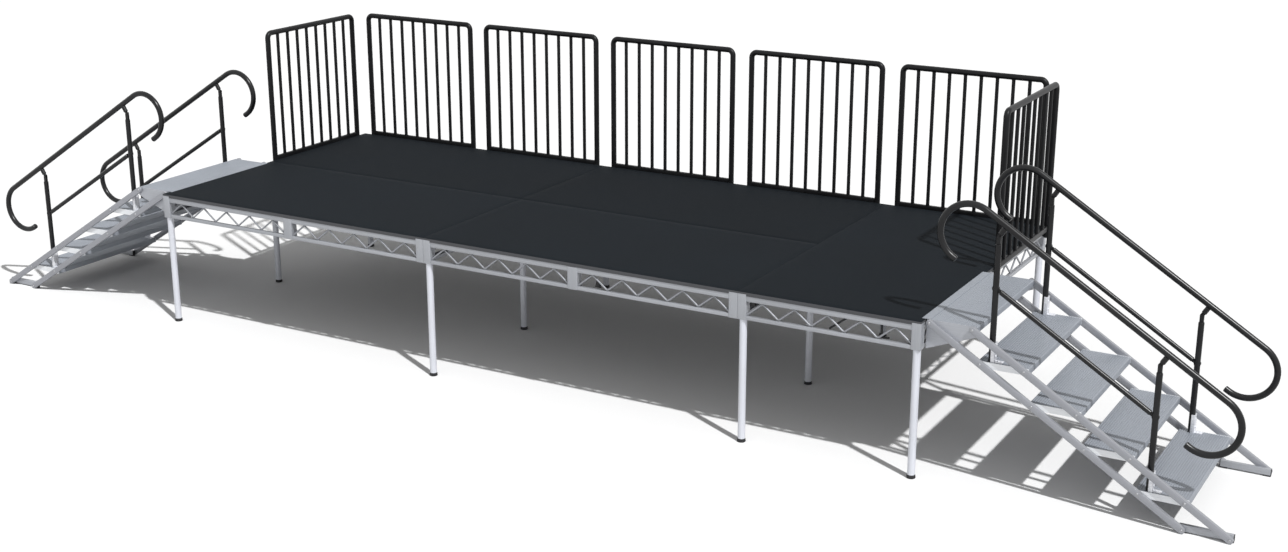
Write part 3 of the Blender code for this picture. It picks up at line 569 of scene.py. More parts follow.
def turn_profile(shape, profile, place=Matrix.Identity(4), steps=28):
    """A turned solid: (radius, height) points spun once round the place's own Z."""
    before = set(shape.faces)
    verts = [shape.verts.new((radius, 0, height)) for radius, height in profile]
    edges = [shape.edges.new(pair) for pair in zip(verts, verts[1:])]
    bmesh.ops.spin(
        shape, geom=verts + edges, cent=(0, 0, 0), axis=(0, 0, 1), angle=tau, steps=steps, use_merge=True
    )
    bmesh.ops.remove_doubles(shape, verts=points_of(added(shape, before)), dist=SEAM)
    skin = added(shape, before)
    bmesh.ops.recalc_face_normals(shape, faces=skin)
    bmesh.ops.transform(shape, matrix=place, verts=points_of(skin))


def rubber(name):
    """Black moulded rubber, dusty in patches."""
    material, finish = new_finish(name, Specular_IOR_Level=0.3)
    dust = finish.noise(finish.place(), size=0.03, detail=5.0)
    colour = finish.mix(dust.between(0.4, 0.75), RUBBER_TONE, DUST_TONE)
    finish.feed(Base_Color=colour, Roughness=dust * 0.2 + 0.6)
    return material


leg_tube, leg_foot = bmesh.new(), bmesh.new()
leg_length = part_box("leg_front_1")[1].z - FOOT_SOLE
draw_tube(leg_tube, LEG_RADIUS, (0, 0, FOOT_SOLE), (0, 0, 1), [leg_length], sides=40)
turn_profile(
    leg_foot,
    [
        (0.0, 0.0),
        (FOOT_RADIUS - FOOT_EDGE, 0.0),
        (FOOT_RADIUS, FOOT_EDGE),
        (FOOT_RADIUS - FOOT_DRAFT, FOOT_SHOULDER),
        (LEG_RADIUS + FOOT_WALL, FOOT_HEIGHT - FOOT_RIM_HEIGHT),
        (LEG_RADIUS + FOOT_RIM, FOOT_HEIGHT),
        (0.0, FOOT_HEIGHT),
    ],
)
leg_metal = drawn_metal("leg_metal", "Z", LEG_TONE, roughness=0.32, metallic=0.08)
foot_rubber = rubber("foot_rubber")
for node in nodes_named("leg_"):
    low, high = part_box(node)
    place = Matrix.Translation(((low.x + high.x) / 2, (low.y + high.y) / 2, 0.0))
    settle(leg_tube, f"{node}_tube", node, [leg_metal], place)
    settle(leg_foot, f"{node}_foot", node, [foot_rubber], place)

# Guardrails
# Black gloss steel: a tube bent down at both corners, a bottom rail, and eight round bars welded
# between them. A peg low on each post goes into the panel frame.
RAIL_TUBE = 0.0418 / 2
RAIL_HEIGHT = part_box("guardrail_back_1")[1].z - DECK_HEIGHT
RAIL_SPACING = 1.0592
RAIL_BEND = 0.042
RAIL_BEND_STEPS = 10
RAIL_DROP = 0.058
BOTTOM_RAIL_DEPTH = 0.0254
BOTTOM_RAIL_HEIGHT = 0.0381
BOTTOM_RAIL_LOW = -0.01
BOTTOM_RAIL_HIGH = BOTTOM_RAIL_LOW + BOTTOM_RAIL_HEIGHT
BOTTOM_RAIL_EDGE = 0.004
BAR_RADIUS = 0.0265 / 2
BAR_COUNT = 8
BAR_SEAT = 0.004
BAR_LOW = BOTTOM_RAIL_HIGH - BAR_SEAT
BAR_HIGH = RAIL_HEIGHT - RAIL_TUBE * 1.5
WELD_REACH = 0.0022
WELD_RADIUS = BAR_RADIUS + WELD_REACH
WELD_HALF = 0.0018
WELD_CROWN = 0.0025
WELD_SEAT = 0.0015
WELD_HEIGHTS = (BOTTOM_RAIL_HIGH, RAIL_HEIGHT - 2 * RAIL_TUBE + WELD_SEAT)
PEG_RADIUS = 0.0111
PEG_DROP = 0.0435
PEG_REACH = 0.0466
BLACK_TONES = ((0.006, 0.006, 0.007), (0.011, 0.0115, 0.0125))


def gloss_black(name, specular, roughness):
    """Black powder coat: smooth and glossy, with faint orange peel and a little dust."""
    material, finish = new_finish(name, Specular_IOR_Level=specular)
    peel = finish.noise(finish.place(), size=0.006, detail=2.0)
    cloud = finish.noise(finish.place(), size=0.25, detail=4.0)
    finish.feed(
        Base_Color=finish.mix(cloud.between(0.35, 0.70), *BLACK_TONES),
        Roughness=cloud * 0.12 + (roughness - 0.06),
        Normal=finish.bump(peel, strength=0.08, distance=0.0004),
    )
    return material


guard = bmesh.new()
half = RAIL_SPACING / 2
rise = RAIL_HEIGHT - RAIL_TUBE - RAIL_BEND + RAIL_DROP
corner = (pi / 2, RAIL_BEND, (0, 1, 0), RAIL_BEND_STEPS)
runs = [rise, corner, RAIL_SPACING - 2 * RAIL_BEND, corner, rise]
draw_tube(guard, RAIL_TUBE, (-half, 0, -RAIL_DROP), (0, 0, 1), runs, sides=20)
depth = BOTTOM_RAIL_DEPTH / 2
block(guard, (-half, -depth, BOTTOM_RAIL_LOW), (half, depth, BOTTOM_RAIL_HIGH), BOTTOM_RAIL_EDGE, segments=3)
weld = [(0.0, -WELD_CROWN), (WELD_RADIUS, -WELD_HALF), (WELD_RADIUS, WELD_HALF), (0.0, WELD_CROWN)]
for index in range(BAR_COUNT):
    x = RAIL_SPACING * ((index + 1) / (BAR_COUNT + 1) - 0.5)
    draw_tube(guard, BAR_RADIUS, (x, 0, BAR_LOW), (0, 0, 1), [BAR_HIGH - BAR_LOW], sides=12)
    for height in WELD_HEIGHTS:
        turn_profile(guard, weld, Matrix.Translation((x, 0, height)), steps=12)
for x in (-half, half):
    draw_tube(guard, PEG_RADIUS, (x, 0, -PEG_DROP), (0, -1, 0), [PEG_REACH], sides=16)
guard_paint = gloss_black("guardrail_paint", specular=0.20, roughness=0.36)
for node in nodes_named("guardrail_"):
    low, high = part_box(node)
    if node == "guardrail_left":
        turn, middle = pi / 2, (low.x + RAIL_TUBE, (low.y + high.y) / 2)
    elif node == "guardrail_right":
        turn, middle = -pi / 2, (high.x - RAIL_TUBE, (low.y + high.y) / 2)
    else:
        turn, middle = 0.0, ((low.x + high.x) / 2, high.y - RAIL_TUBE)
    place = Matrix.Translation((*middle, DECK_HEIGHT)) @ Matrix.Rotation(turn, 4, "Z")
    settle(guard, f"{node}_welded", node, [guard_paint], place)

# Panel locks
# Dull black cast levers, a hook, a wedge and a knob, which draw a panel against its neighbour. They
# stand between the two chords of the front trusses, behind the web rods.
LOCK_SETBACK = 0.0354
LOCK_THICKNESS = 0.008
LOCK_HALF = 0.0065
LOCK_EDGE = 0.0015
LOCK_LOW = -0.150
LEVER_HIGH = -0.067
HOOK_X = 2.786
LOCK_BARS = (
    ((2.4475, LOCK_LOW), (2.556, LEVER_HIGH)),
    ((HOOK_X, -0.066), (HOOK_X, LOCK_LOW)),
    ((HOOK_X, LOCK_LOW), (2.832, -0.148)),
    ((0.652, LOCK_LOW), (0.748, LEVER_HIGH)),
)
WEDGE = ((0.766, LOCK_LOW), (0.815, LOCK_LOW), (0.800, -0.120), (0.778, -0.100))
KNOB_PLACE = (1.922, -0.081)
KNOB_RADIUS = 0.019
KNOB_LENGTH = 0.024


def stretch_outline(shape, outline, depth, place=Matrix.Identity(4)):
    """A flat outline of (x, z) points drawn out along Y by a depth."""
    before = set(shape.faces)
    face = shape.faces.new([shape.verts.new((x, -depth / 2, z)) for x, z in outline])
    made = bmesh.ops.extrude_face_region(shape, geom=[face])["geom"]
    bmesh.ops.translate(shape, verts=of_kind(made, BMVert), vec=(0, depth, 0))
    skin = added(shape, before)
    bmesh.ops.recalc_face_normals(shape, faces=skin)
    bmesh.ops.transform(shape, matrix=place, verts=points_of(skin))


def arc(centre, radius, first, last, steps):
    """Points on part of a circle, in X and Z."""
    angles = [first + (last - first) * step / steps for step in range(steps + 1)]
    return [(centre[0] + radius * cos(angle), centre[1] + radius * sin(angle)) for angle in angles]


def disc(centre, radius):
    """Points all round a circle, in X and Z."""
    return arc(centre, radius, 0.0, tau, 20)[:-1]


def bar_outline(start, end, half, steps):
    """Outline of a flat bar with round ends between two (x, z) points."""
    heading = atan2(end[1] - start[1], end[0] - start[0])
    first = arc(end, half, heading - pi / 2, heading + pi / 2, steps)
    return first + arc(start, half, heading + pi / 2, heading + 3 * pi / 2, steps)


def round_creases(shape, width):
    """Rounds every sharp edge of a shape."""
    round_edges(shape, [edge for edge in shape.edges if edge.calc_face_angle(0.0) > CREASE], width)


locks = bmesh.new()
lock_place = Matrix.Translation((0, board_low.y + LOCK_SETBACK, DECK_HEIGHT))
for start, end in LOCK_BARS:
    stretch_outline(locks, bar_outline(start, end, LOCK_HALF, steps=8), LOCK_THICKNESS, lock_place)
stretch_outline(locks, WEDGE, LOCK_THICKNESS, lock_place)
stretch_outline(locks, disc(KNOB_PLACE, KNOB_RADIUS), KNOB_LENGTH, lock_place)
round_creases(locks, LOCK_EDGE)
settle(locks, "front_panel_locks", "deck_frame_right_end", [foot_rubber], Matrix.Identity(4), replaced=False)

# Hanger plates
# The flat plate between the stage and each landing, hooked over the end frame. Its solid is shown as
# it is, in the same drawn metal as the frames.
ENDS = {"left": -1, "right": 1}
for end in ENDS:
    hanger = frame["nodes"][f"{end}_hanger_plate"]
    hanger.data.materials.clear()
    hanger.data.materials.append(metal_y)

# Stair treads
# Each tread is a ribbed plank with lips front and back and a plate welded on each end. The plates
# carry the pivot bolts, on which the stringers turn. The top tread is the landing, with a gusset
# under each end and a lip that covers the gap to the deck.
TREAD_DEPTH = 0.31
TREAD_WIDTH = 1.0795
TREAD_HEIGHT = 0.0406
TREAD_WALL = 0.0042
PIVOT_INSET = 0.0216
PIVOT_DROP = 0.0165
PIVOT_RADIUS = 0.0127 / 2
LINK = TREAD_DEPTH - 2 * PIVOT_INSET
TREAD_BACK = -PIVOT_INSET
TREAD_FRONT = TREAD_BACK + TREAD_DEPTH
TREAD_BASE = PIVOT_DROP - TREAD_HEIGHT
LIP_RETURN = 0.016
NOSE_RADIUS = 0.007
RIB_COUNT = 20
RIB_RISE = 0.0022
RIB_PITCH = (TREAD_DEPTH - 2 * NOSE_RADIUS) / RIB_COUNT
GROOVE_SIDES = (0.28, 0.72)
END_PLATE = 0.005
END_PLATE_CORNER = 0.005
END_PLATE_DROP = 0.0006
GUSSET_FRONT = 0.064
STANDOFF = 0.0076
LIP_REACH = 0.025
LIP_GAP = 0.0003
LIP_RISE = 0.0033
LIP_BACK = TREAD_BACK - STANDOFF - LIP_REACH
LIP_LOW = PIVOT_DROP + LIP_GAP
LIP_HIGH = PIVOT_DROP + LIP_RISE
LIP_FLAT = 0.005
LIP_BACK_EDGE = (0.0025, 0.0018)
LIP_FRONT_EDGE = (0.0015, 0.001)
LIP_GROOVES = 3
LIP_GROOVE_DEPTH = 0.0012
LIP_INSET = 0.001
STRINGER_WIDTH = 0.0254
SIDE_GAP = 0.0005
STRINGER_Y = TREAD_WIDTH / 2 + SIDE_GAP + STRINGER_WIDTH / 2
NUT_RADIUS = 0.0090
NUT_HEIGHT = 0.006
WASHER_RADIUS = 0.0105
WASHER_SEAT = 0.0002
WASHER_TOP = 0.0012
BOLT_DOME = ((0.82, 0.0014), (0.70, 0.0032), (0.40, 0.0043), (0.0, 0.0046))
TREAD_TONE = (0.325, 0.350, 0.392)
# The ceiling inside each plank's channel is painted darker than the top: painted shade on the same metal.
TREAD_PAINTED_SHADE_TONE = (0.125, 0.130, 0.145)
GUSSET_TONE = (0.44, 0.455, 0.49)
# The treads' end plates are made near white, a painted highlight for their lit edges.
END_PLATE_PAINTED_LIGHT_TONE = (0.88, 0.90, 0.95)
ZINC_TONES = ((0.66, 0.67, 0.71), (0.84, 0.85, 0.88))
ROUND_HALF = {end: Matrix.Rotation(0.0 if out > 0 else pi, 4, "Z") for end, out in ENDS.items()}


def grooves(start, count, top, depth):
    """Points along a grooved top, from its back to its front."""
    points = []
    slant = depth / 2
    for index in range(count):
        first, last = (start + RIB_PITCH * (index + share) for share in GROOVE_SIDES)
        points += [(first - slant, top), (first + slant, top - depth)]
        points += [(last - slant, top - depth), (last + slant, top)]
    return points


def plank_outline():
    """The ribbed plank's section in X and Z, about the back pivot."""
    nose = PIVOT_DROP - NOSE_RADIUS
    sill = TREAD_BASE + TREAD_WALL
    ceiling = PIVOT_DROP - RIB_RISE - TREAD_WALL
    outline = [(TREAD_BACK, TREAD_BASE)]
    outline += arc((TREAD_BACK + NOSE_RADIUS, nose), NOSE_RADIUS, pi, pi / 2, 4)
    outline += grooves(TREAD_BACK + NOSE_RADIUS, RIB_COUNT, PIVOT_DROP, RIB_RISE)
    outline += arc((TREAD_FRONT - NOSE_RADIUS, nose), NOSE_RADIUS, pi / 2, 0.0, 4)
    outline += [(TREAD_FRONT, TREAD_BASE), (TREAD_FRONT - LIP_RETURN, TREAD_BASE)]
    outline += [(TREAD_FRONT - LIP_RETURN, sill), (TREAD_FRONT - TREAD_WALL, sill)]
    outline += [(TREAD_FRONT - TREAD_WALL, ceiling), (TREAD_BACK + TREAD_WALL, ceiling)]
    outline += [(TREAD_BACK + TREAD_WALL, sill), (TREAD_BACK + LIP_RETURN, sill)]
    return outline + [(TREAD_BACK + LIP_RETURN, TREAD_BASE)]


def end_plates(shape, back_low, front_low):
    """The plates on both ends of a tread, down to a height at the back and one at the front."""
    high = PIVOT_DROP - END_PLATE_CORNER - END_PLATE_DROP
    outline = [(TREAD_BACK, back_low), (TREAD_FRONT, front_low)]
    outline += arc((TREAD_FRONT - END_PLATE_CORNER, high), END_PLATE_CORNER, 0.0, pi / 2, 3)
    outline += arc((TREAD_BACK + END_PLATE_CORNER, high), END_PLATE_CORNER, pi / 2, pi, 3)
    for side in (-1, 1):
        middle = side * (TREAD_WIDTH - END_PLATE) / 2
        stretch_outline(shape, outline, END_PLATE, Matrix.Translation((0, middle, 0)))


def pivot_bolts(shape, side):
    """Round-headed bolts with washers, from an end plate out through the stringers."""
    face = STRINGER_Y + STRINGER_WIDTH / 2 + SIDE_GAP
    inside = TREAD_WIDTH / 2 - END_PLATE - NUT_HEIGHT
    profile = [(0.0, inside), (NUT_RADIUS, inside), (NUT_RADIUS, inside + NUT_HEIGHT)]
    profile += [(PIVOT_RADIUS, inside + NUT_HEIGHT), (PIVOT_RADIUS, face - WASHER_SEAT)]
    profile += [(WASHER_RADIUS, face - WASHER_SEAT), (WASHER_RADIUS, face + WASHER_TOP)]
    profile += [(WASHER_RADIUS * share, face + height) for share, height in BOLT_DOME]
    for x in (0.0, LINK):
        place = Matrix.Translation((x, 0, 0)) @ Matrix.Rotation(-side * pi / 2, 4, "X")
        turn_profile(shape, profile, place, steps=20)


def joint_place(name):
    return Vector(next(joint["pos_m"] for joint in frame["joints"] if joint["name"] == name))


def stair_place(end, joint):
    """A joint's place on one stair, with X pointing out from the stage."""
    return Matrix.Translation(joint_place(f"{end}_{joint}")) @ ROUND_HALF[end]


def bright_zinc(name, level, metallic):
    """Bright zinc plate with a soft mottled bloom."""
    material, finish = new_finish(name, Metallic=metallic)
    bloom = finish.noise(finish.place(), size=0.012, detail=4.0)
    colour = finish.mix(bloom.between(0.35, 0.65), *(shade(tone, level) for tone in ZINC_TONES))
    finish.feed(Base_Color=colour, Roughness=bloom * 0.2 + 0.24)
    return material


tread_plank, tread_ends, tread_bolts, gussets, landing_lip = [bmesh.new() for part in range(5)]
stretch_outline(tread_plank, plank_outline(), TREAD_WIDTH - 2 * END_PLATE)
# Faces facing down inside the plank's channel take the second finish, a darker copy of the tread metal that paints
# shade there.
for face in tread_plank.faces:
    high = face.calc_center_median().z > TREAD_BASE + TREAD_WALL * 2
    face.material_index = 1 if high and face.normal.z < -0.5 else 0
end_plates(tread_ends, TREAD_BASE, TREAD_BASE)
end_plates(gussets, PIVOT_DROP - FRAME_DEPTH, PIVOT_DROP - GUSSET_FRONT)
for side in (-1, 1):
    pivot_bolts(tread_bolts, side)
edge_x, edge_z = LIP_BACK_EDGE
lip_outline = [(LIP_BACK, LIP_LOW), (LIP_BACK, LIP_HIGH - edge_z), (LIP_BACK + edge_x, LIP_HIGH)]
lip_outline += grooves(LIP_BACK + LIP_FLAT, LIP_GROOVES, LIP_HIGH, LIP_GROOVE_DEPTH)
edge_x, edge_z = LIP_FRONT_EDGE
lip_outline += [(-edge_x, LIP_HIGH), (0.0, LIP_HIGH - edge_z), (0.0, LIP_LOW)]
stretch_outline(landing_lip, lip_outline, TREAD_WIDTH - LIP_INSET)

tread_metal = drawn_metal("tread_metal", "Y", TREAD_TONE, roughness=0.46, metallic=0.25)
# Painted shade: the same drawn metal, darker, for the plank's channel ceiling.
tread_painted_shade = drawn_metal("tread_painted_shade", "Y", TREAD_PAINTED_SHADE_TONE, roughness=0.46, metallic=0.3)
gusset_metal = drawn_metal("gusset_metal", "X", GUSSET_TONE, roughness=0.42, metallic=0.35)
# Painted highlight: the end plates' near-white metal stands in for light catching them.
end_plate_painted_light = drawn_metal("end_plate_painted_light", "X", END_PLATE_PAINTED_LIGHT_TONE, roughness=0.30, metallic=0.1)
bolt_zinc = bright_zinc("bolt_zinc", level=0.55, metallic=0.9)
plank_finishes = [tread_metal, tread_painted_shade]
for end in ENDS:
    landing, place = f"{end}_landing", stair_place(end, "stair_angle")
    settle(tread_plank, f"{landing}_plank", landing, plank_finishes, place)
    settle(gussets, f"{landing}_end_plates", landing, [gusset_metal], place)
    settle(landing_lip, f"{landing}_lip", landing, [tread_metal], place)
    settle(tread_bolts, f"{landing}_pivot_bolts", landing, [bolt_zinc], place)
    for number in range(2, 6):
        tread, place = f"{end}_tread_{number}", stair_place(end, f"tread_{number}_pivot")
        settle(tread_plank, f"{tread}_plank", tread, plank_finishes, place)
        settle(tread_ends, f"{tread}_end_plates", tread, [end_plate_painted_light], place)
        settle(tread_bolts, f"{tread}_pivot_bolts", tread, [bolt_zinc], place)

# Stringers and foot bars
# Two pairs of flat bars carry each stair's treads. The lower pair holds the treads' back pivots
# and the upper pair the front ones, so the treads stay level. On the floor, a bar on rubber pads
# joins each lower stringer to the upper one.
STRINGER_HEIGHT = 0.0406
STRINGER_EDGE = 0.0028
STRINGER_TONE = (0.35, 0.36, 0.39)
FOOT_BAR_WIDTH = 0.0254
FOOT_BAR_HEIGHT = 0.0406
FOOT_BAR_EDGE = 0.002
PLUG_THICKNESS = 0.003
PLUG_SEAT = 0.001
PLUG_INSET = 0.0008
PLUG_LIFT = 0.0004
PLUG_EDGE = 0.0012
PAD_HEIGHT = 0.009
PAD_LENGTH = 0.05
PAD_INSET = 0.001
PAD_EDGE = 0.0025
stair_drop = joint_place("right_foot_bar_pivot") - joint_place("right_stair_angle")
STRINGER_LENGTH = stair_drop.length
STAIR_ANGLE = atan2(-stair_drop.z, stair_drop.x)
STAIR_SLOPE = Matrix.Rotation(STAIR_ANGLE, 4, "Y")
FOOT_PIVOT = joint_place("right_foot_bar_pivot").z


def side_name(side, out):
    return "front" if side * out < 0 else "back"


stringer = bmesh.new()
outline = bar_outline((0.0, 0.0), (STRINGER_LENGTH, 0.0), STRINGER_HEIGHT / 2, steps=10)
stretch_outline(stringer, outline, STRINGER_WIDTH)
round_creases(stringer, STRINGER_EDGE)
foot_bars, foot_pads, foot_bolts = {}, {}, {}
for side in (-1, 1):
    bar, pads, bolts = bmesh.new(), bmesh.new(), bmesh.new()
    low_y, high_y = sorted((side * TREAD_WIDTH / 2, side * (TREAD_WIDTH / 2 - FOOT_BAR_WIDTH)))
    reach = STRINGER_HEIGHT / 2
    bar_reach = reach - PLUG_THICKNESS
    bar_low = PAD_HEIGHT - FOOT_PIVOT
    bar_high = bar_low + FOOT_BAR_HEIGHT
    block(bar, (-bar_reach, low_y, bar_low), (LINK + bar_reach, high_y, bar_high), FOOT_BAR_EDGE)
    for start in (-reach, LINK + reach - PAD_LENGTH):
        pad_low = (start + PAD_INSET, low_y + PAD_INSET, -FOOT_PIVOT)
        pad_high = (start + PAD_LENGTH - PAD_INSET, high_y - PAD_INSET, bar_low + PAD_INSET)
        block(pads, pad_low, pad_high, PAD_EDGE)
    for low_x, high_x in ((-reach, PLUG_SEAT - bar_reach), (LINK + bar_reach - PLUG_SEAT, LINK + reach)):
        plug_low = (low_x, low_y + PLUG_INSET, bar_low + PLUG_LIFT)
        plug_high = (high_x, high_y - PLUG_INSET, bar_high - PLUG_INSET)
        block(pads, plug_low, plug_high, PLUG_EDGE)
    pivot_bolts(bolts, side)
    foot_bars[side], foot_pads[side], foot_bolts[side] = bar, pads, bolts

for end, out in ENDS.items():
    turn = (0.0, -STAIR_ANGLE * out, 0.0)
    bar_metal = drawn_metal(
        f"{end}_stringer_metal", "X", STRINGER_TONE, roughness=0.38, metallic=0.40, turn=turn
    )
    for side in (-1, 1):
        beside = Matrix.Translation((0, side * STRINGER_Y, 0)) @ STAIR_SLOPE
        for level, joint in (("lower", "stair_angle"), ("upper", "upper_stringer_pivot")):
            node = f"{end}_{level}_stringer_{side_name(side, out)}"
            place = stair_place(end, joint) @ beside
            settle(stringer, f"{node}_bar", node, [bar_metal], place)
        node = f"{end}_foot_bar_{side_name(side, out)}"
        place = stair_place(end, "foot_bar_pivot")
        settle(foot_bars[side], f"{node}_tube", node, [metal_x], place)
        settle(foot_pads[side], f"{node}_pads", node, [foot_rubber], place)
        settle(foot_bolts[side], f"{node}_bolts", node, [bolt_zinc], place)

# Handrail posts and sockets
# The second and the last tread each carry two black posts. A post stands in a bright zinc channel
# bolted to the tread, and its forked top and a slot at half height take the rails' pins. The
# channels' backs face right on both stairs.
POST_RADIUS = 0.0368 / 2
POST_INSET = 0.074
POST_SIDE_INSET = 0.0318
POST_X = POST_INSET - PIVOT_INSET
POST_Y = TREAD_WIDTH / 2 - POST_SIDE_INSET
POST_SINK = 0.002
POST_CROWN = ((1.0, 0.006), (0.97, 0.002), (0.86, 0.0), (0.0, 0.0))
PIN_Z = joint_place("right_handrail_pivot").z - joint_place("right_tread_2_pivot").z
MID_PIN_Z = joint_place("right_mid_rail_pivot").z - joint_place("right_tread_2_pivot").z
FORK_HEIGHT = 0.045
FORK_BASE = PIN_Z - FORK_HEIGHT
FORK_HALF = 0.0127
FORK_WELD = 0.012
CHEEK = 0.0046
SLOT = 0.0076
LUG_WALL = 0.003
PIN_RADIUS = 0.0095 / 2
PIN_PROUD = 0.002
PIN_REACH = SLOT / 2 + CHEEK + PIN_PROUD
PIN_CROWN = ((1.6, 0.0), (1.3, 0.002), (0.0, 0.003))
SOCKET_HEIGHT = 0.119
SOCKET_GAP = 0.0008
SOCKET_INNER = POST_RADIUS + SOCKET_GAP
SOCKET_WALL = 0.005
SOCKET_OUTER = SOCKET_INNER + SOCKET_WALL
SOCKET_EDGE = 0.0012
SOCKET_FOOT = 0.0485
SOCKET_SINK = 0.002
BACK_INSET = 0.0006
BACK_PROUD = 0.0004
SCREW = ((0.0, 0.0), (0.0075, 0.0), (0.0075, 0.0016), (0.0056, 0.0018), (0.0056, 0.0055), (0.0, 0.0062))
FOOT_SCREWS = (0.016, 0.038)
BACK_SCREWS = (0.035, 0.090)

post_parts, pin_parts = bmesh.new(), bmesh.new()
fork_outline = [(POST_X - FORK_HALF, FORK_BASE - FORK_WELD), (POST_X + FORK_HALF, FORK_BASE - FORK_WELD)]
fork_outline += arc((POST_X, PIN_Z), FORK_HALF, 0.0, pi, 10)
lug_outline = disc((POST_X, MID_PIN_Z), POST_RADIUS + LUG_WALL)
post = [(0.0, PIVOT_DROP - POST_SINK), (POST_RADIUS, PIVOT_DROP - POST_SINK)]
post += [(POST_RADIUS * share, FORK_BASE - depth) for share, depth in POST_CROWN]
pin = [(PIN_RADIUS * share, -PIN_REACH - height) for share, height in reversed(PIN_CROWN)]
pin += [(PIN_RADIUS, -PIN_REACH), (PIN_RADIUS, PIN_REACH)]
pin += [(PIN_RADIUS * share, PIN_REACH + height) for share, height in PIN_CROWN]
for y in (-POST_Y, POST_Y):
    turn_profile(post_parts, post, Matrix.Translation((POST_X, y, 0)), steps=32)
    for cheek in (-1, 1):
        place = Matrix.Translation((0, y + cheek * (SLOT + CHEEK) / 2, 0))
        stretch_outline(post_parts, fork_outline, CHEEK, place)
        stretch_outline(post_parts, lug_outline, CHEEK, place)
    for height in (PIN_Z, MID_PIN_Z):
        place = Matrix.Translation((POST_X, y, height)) @ Matrix.Rotation(-pi / 2, 4, "X")
        turn_profile(pin_parts, pin, place, steps=16)
channel, screws = bmesh.new(), bmesh.new()
for low_y, high_y in ((-SOCKET_OUTER, -SOCKET_INNER), (SOCKET_INNER, SOCKET_OUTER)):
    block(channel, (0, low_y, -SOCKET_SINK), (SOCKET_OUTER, high_y, SOCKET_HEIGHT), SOCKET_EDGE)
back_y = SOCKET_OUTER - BACK_INSET
back_high = (SOCKET_OUTER + BACK_PROUD, back_y, SOCKET_HEIGHT + BACK_PROUD)
block(channel, (SOCKET_INNER, -back_y, -SOCKET_SINK), back_high, SOCKET_EDGE)
foot_low = (SOCKET_INNER + SOCKET_WALL / 2, -SOCKET_INNER, -SOCKET_SINK / 2)
block(channel, foot_low, (SOCKET_OUTER + SOCKET_FOOT, SOCKET_INNER, SOCKET_WALL), SOCKET_EDGE)
for x in FOOT_SCREWS:
    place = Matrix.Translation((SOCKET_OUTER + x, 0, SOCKET_WALL - BACK_PROUD))
    turn_profile(screws, SCREW, place, steps=12)
for height in BACK_SCREWS:
    place = Matrix.Translation((SOCKET_OUTER, 0, height)) @ Matrix.Rotation(pi / 2, 4, "Y")
    turn_profile(screws, SCREW, place, steps=12)


def copies(shape, places):
    """One shape with a copy of another at each place."""
    single = bpy.data.meshes.new("single")
    shape.to_mesh(single)
    joined = bmesh.new()
    for place in places:
        known = len(joined.verts)
        joined.from_mesh(single)
        joined.verts.ensure_lookup_table()
        bmesh.ops.transform(joined, matrix=place, verts=joined.verts[known:])
    bpy.data.meshes.remove(single)
    return joined


rail_paint = gloss_black("handrail_paint", specular=0.33, roughness=0.28)
socket_zinc = bright_zinc("socket_zinc", level=1.1, metallic=0.35)
for end in ENDS:
    stands = [Matrix.Translation((POST_X, y, PIVOT_DROP)) @ ROUND_HALF[end] for y in (-POST_Y, POST_Y)]
    channel_pair, screw_set = copies(channel, stands), copies(screws, stands)
    for number in (2, 5):
        node = f"{end}_tread_{number}"
        place = stair_place(end, f"tread_{number}_pivot")
        settle(post_parts, f"{node}_rail_posts", node, [rail_paint], place)
        settle(channel_pair, f"{node}_post_sockets", node, [socket_zinc], place)
        settle(screw_set, f"{node}_socket_bolts", node, [socket_zinc], place)
        settle(pin_parts, f"{node}_pins", node, [rail_paint], place)

# Handrails and mid rails
# Each handrail is one black tube whose ends are bent back under it in open loops, closed by
# plugs. The mid rail is a straight tube with flattened ends, pinned in the posts' slots.
HAND_TUBE = 0.0406 / 2
LOOP_RADIUS = 0.18
LOOP_STEPS = 28
LOOP_TAIL = 0.02
HAND_START = -0.145
HAND_OVERHANG = 0.406
HAND_RISE = 0.08
CAP_GAP = 0.0004
CAP_DEPTH = 0.002
CAP_CROWN = ((0.0, 0.0048), (0.010, 0.0042), (0.017, 0.0024))
NECK_RADIUS = 0.033 / 2
NECK_LOW = 0.0157
NECK_EDGE = 0.003
NECK_WELD = 0.0018
NECK_WELD_LOW = HAND_RISE - HAND_TUBE * 0.8
NECK_WELD_HIGH = HAND_RISE - HAND_TUBE * 0.7
NECK_HIGH = HAND_RISE - HAND_TUBE * 0.6
TAB = 0.0064
TAB_HALF = 0.012
MID_TUBE = 0.0318 / 2
MID_INSET = 2 * POST_RADIUS
MID_TAB_SEAT = 0.012
MID_CRIMP = ((0.0, -0.004), (MID_TUBE * 0.7, -0.003), (MID_TUBE, 0.0), (0.0, 0.001))
PIN_SPAN = (joint_place("right_tread_5_pivot") - joint_place("right_tread_2_pivot")).length

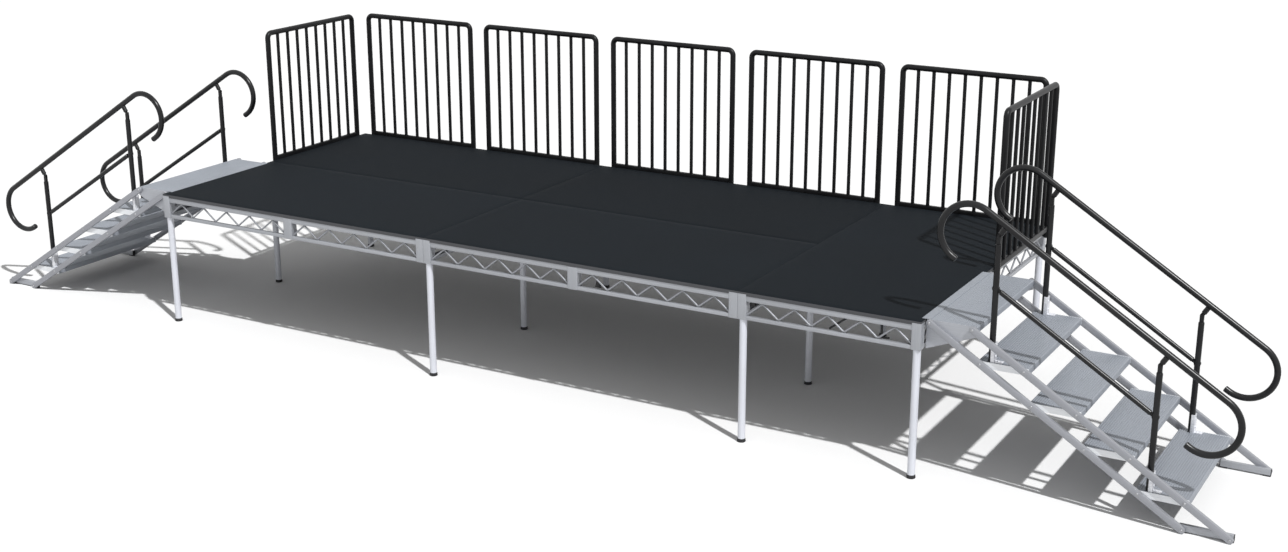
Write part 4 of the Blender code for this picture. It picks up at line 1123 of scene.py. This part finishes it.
hand = bmesh.new()
hand_end = PIN_SPAN + HAND_OVERHANG
loop_low = HAND_RISE - 2 * LOOP_RADIUS
half_turn = (pi, LOOP_RADIUS, (0, 1, 0), LOOP_STEPS)
runs = [LOOP_TAIL, half_turn, hand_end - HAND_START, half_turn, LOOP_TAIL]
draw_tube(hand, HAND_TUBE, (HAND_START + LOOP_TAIL, 0, loop_low), (-1, 0, 0), runs, sides=28)
cap_radius = HAND_TUBE - CAP_GAP
cap = [*CAP_CROWN, (cap_radius, 0.0), (cap_radius, -CAP_DEPTH), (0.0, -CAP_DEPTH)]
for x, outward in ((HAND_START + LOOP_TAIL, 1), (hand_end - LOOP_TAIL, -1)):
    turn = Matrix.Rotation(outward * pi / 2, 4, "Y")
    turn_profile(hand, cap, Matrix.Translation((x, 0, loop_low)) @ turn)
neck = [
    (0.0, NECK_LOW),
    (NECK_RADIUS - NECK_EDGE, NECK_LOW),
    (NECK_RADIUS, NECK_LOW + NECK_EDGE),
    (NECK_RADIUS, NECK_WELD_LOW),
    (NECK_RADIUS + NECK_WELD, NECK_WELD_HIGH),
    (0.0, NECK_HIGH),
]
for x in (0.0, PIN_SPAN):
    tab_outline = arc((x, 0.0), TAB_HALF, -pi, 0.0, 8)
    tab_outline += [(x + TAB_HALF, HAND_RISE), (x - TAB_HALF, HAND_RISE)]
    stretch_outline(hand, tab_outline, TAB)
    turn_profile(hand, neck, Matrix.Translation((x, 0, 0)))
mid = bmesh.new()
draw_tube(mid, MID_TUBE, (MID_INSET, 0, 0), (1, 0, 0), [PIN_SPAN - 2 * MID_INSET], sides=24)
for x, side in ((0.0, 1), (PIN_SPAN, -1)):
    far = x + side * (MID_INSET + MID_TAB_SEAT)
    tab_outline = [(far, -TAB_HALF), (far, TAB_HALF)]
    tab_outline += arc((x, 0.0), TAB_HALF, pi / 2, side * pi + pi / 2, 8)
    stretch_outline(mid, tab_outline, TAB)
    turn = Matrix.Rotation(side * pi / 2, 4, "Y")
    turn_profile(mid, MID_CRIMP, Matrix.Translation((x + side * MID_INSET, 0, 0)) @ turn)
for end, out in ENDS.items():
    for side in (-1, 1):
        beside = Matrix.Translation((0, side * POST_Y, 0)) @ STAIR_SLOPE
        for shape, part in ((hand, "handrail"), (mid, "mid_rail")):
            node = f"{end}_{part}_{side_name(side, out)}"
            place = stair_place(end, f"{part}_pivot") @ beside
            settle(shape, f"{node}_tube", node, [rail_paint], place)
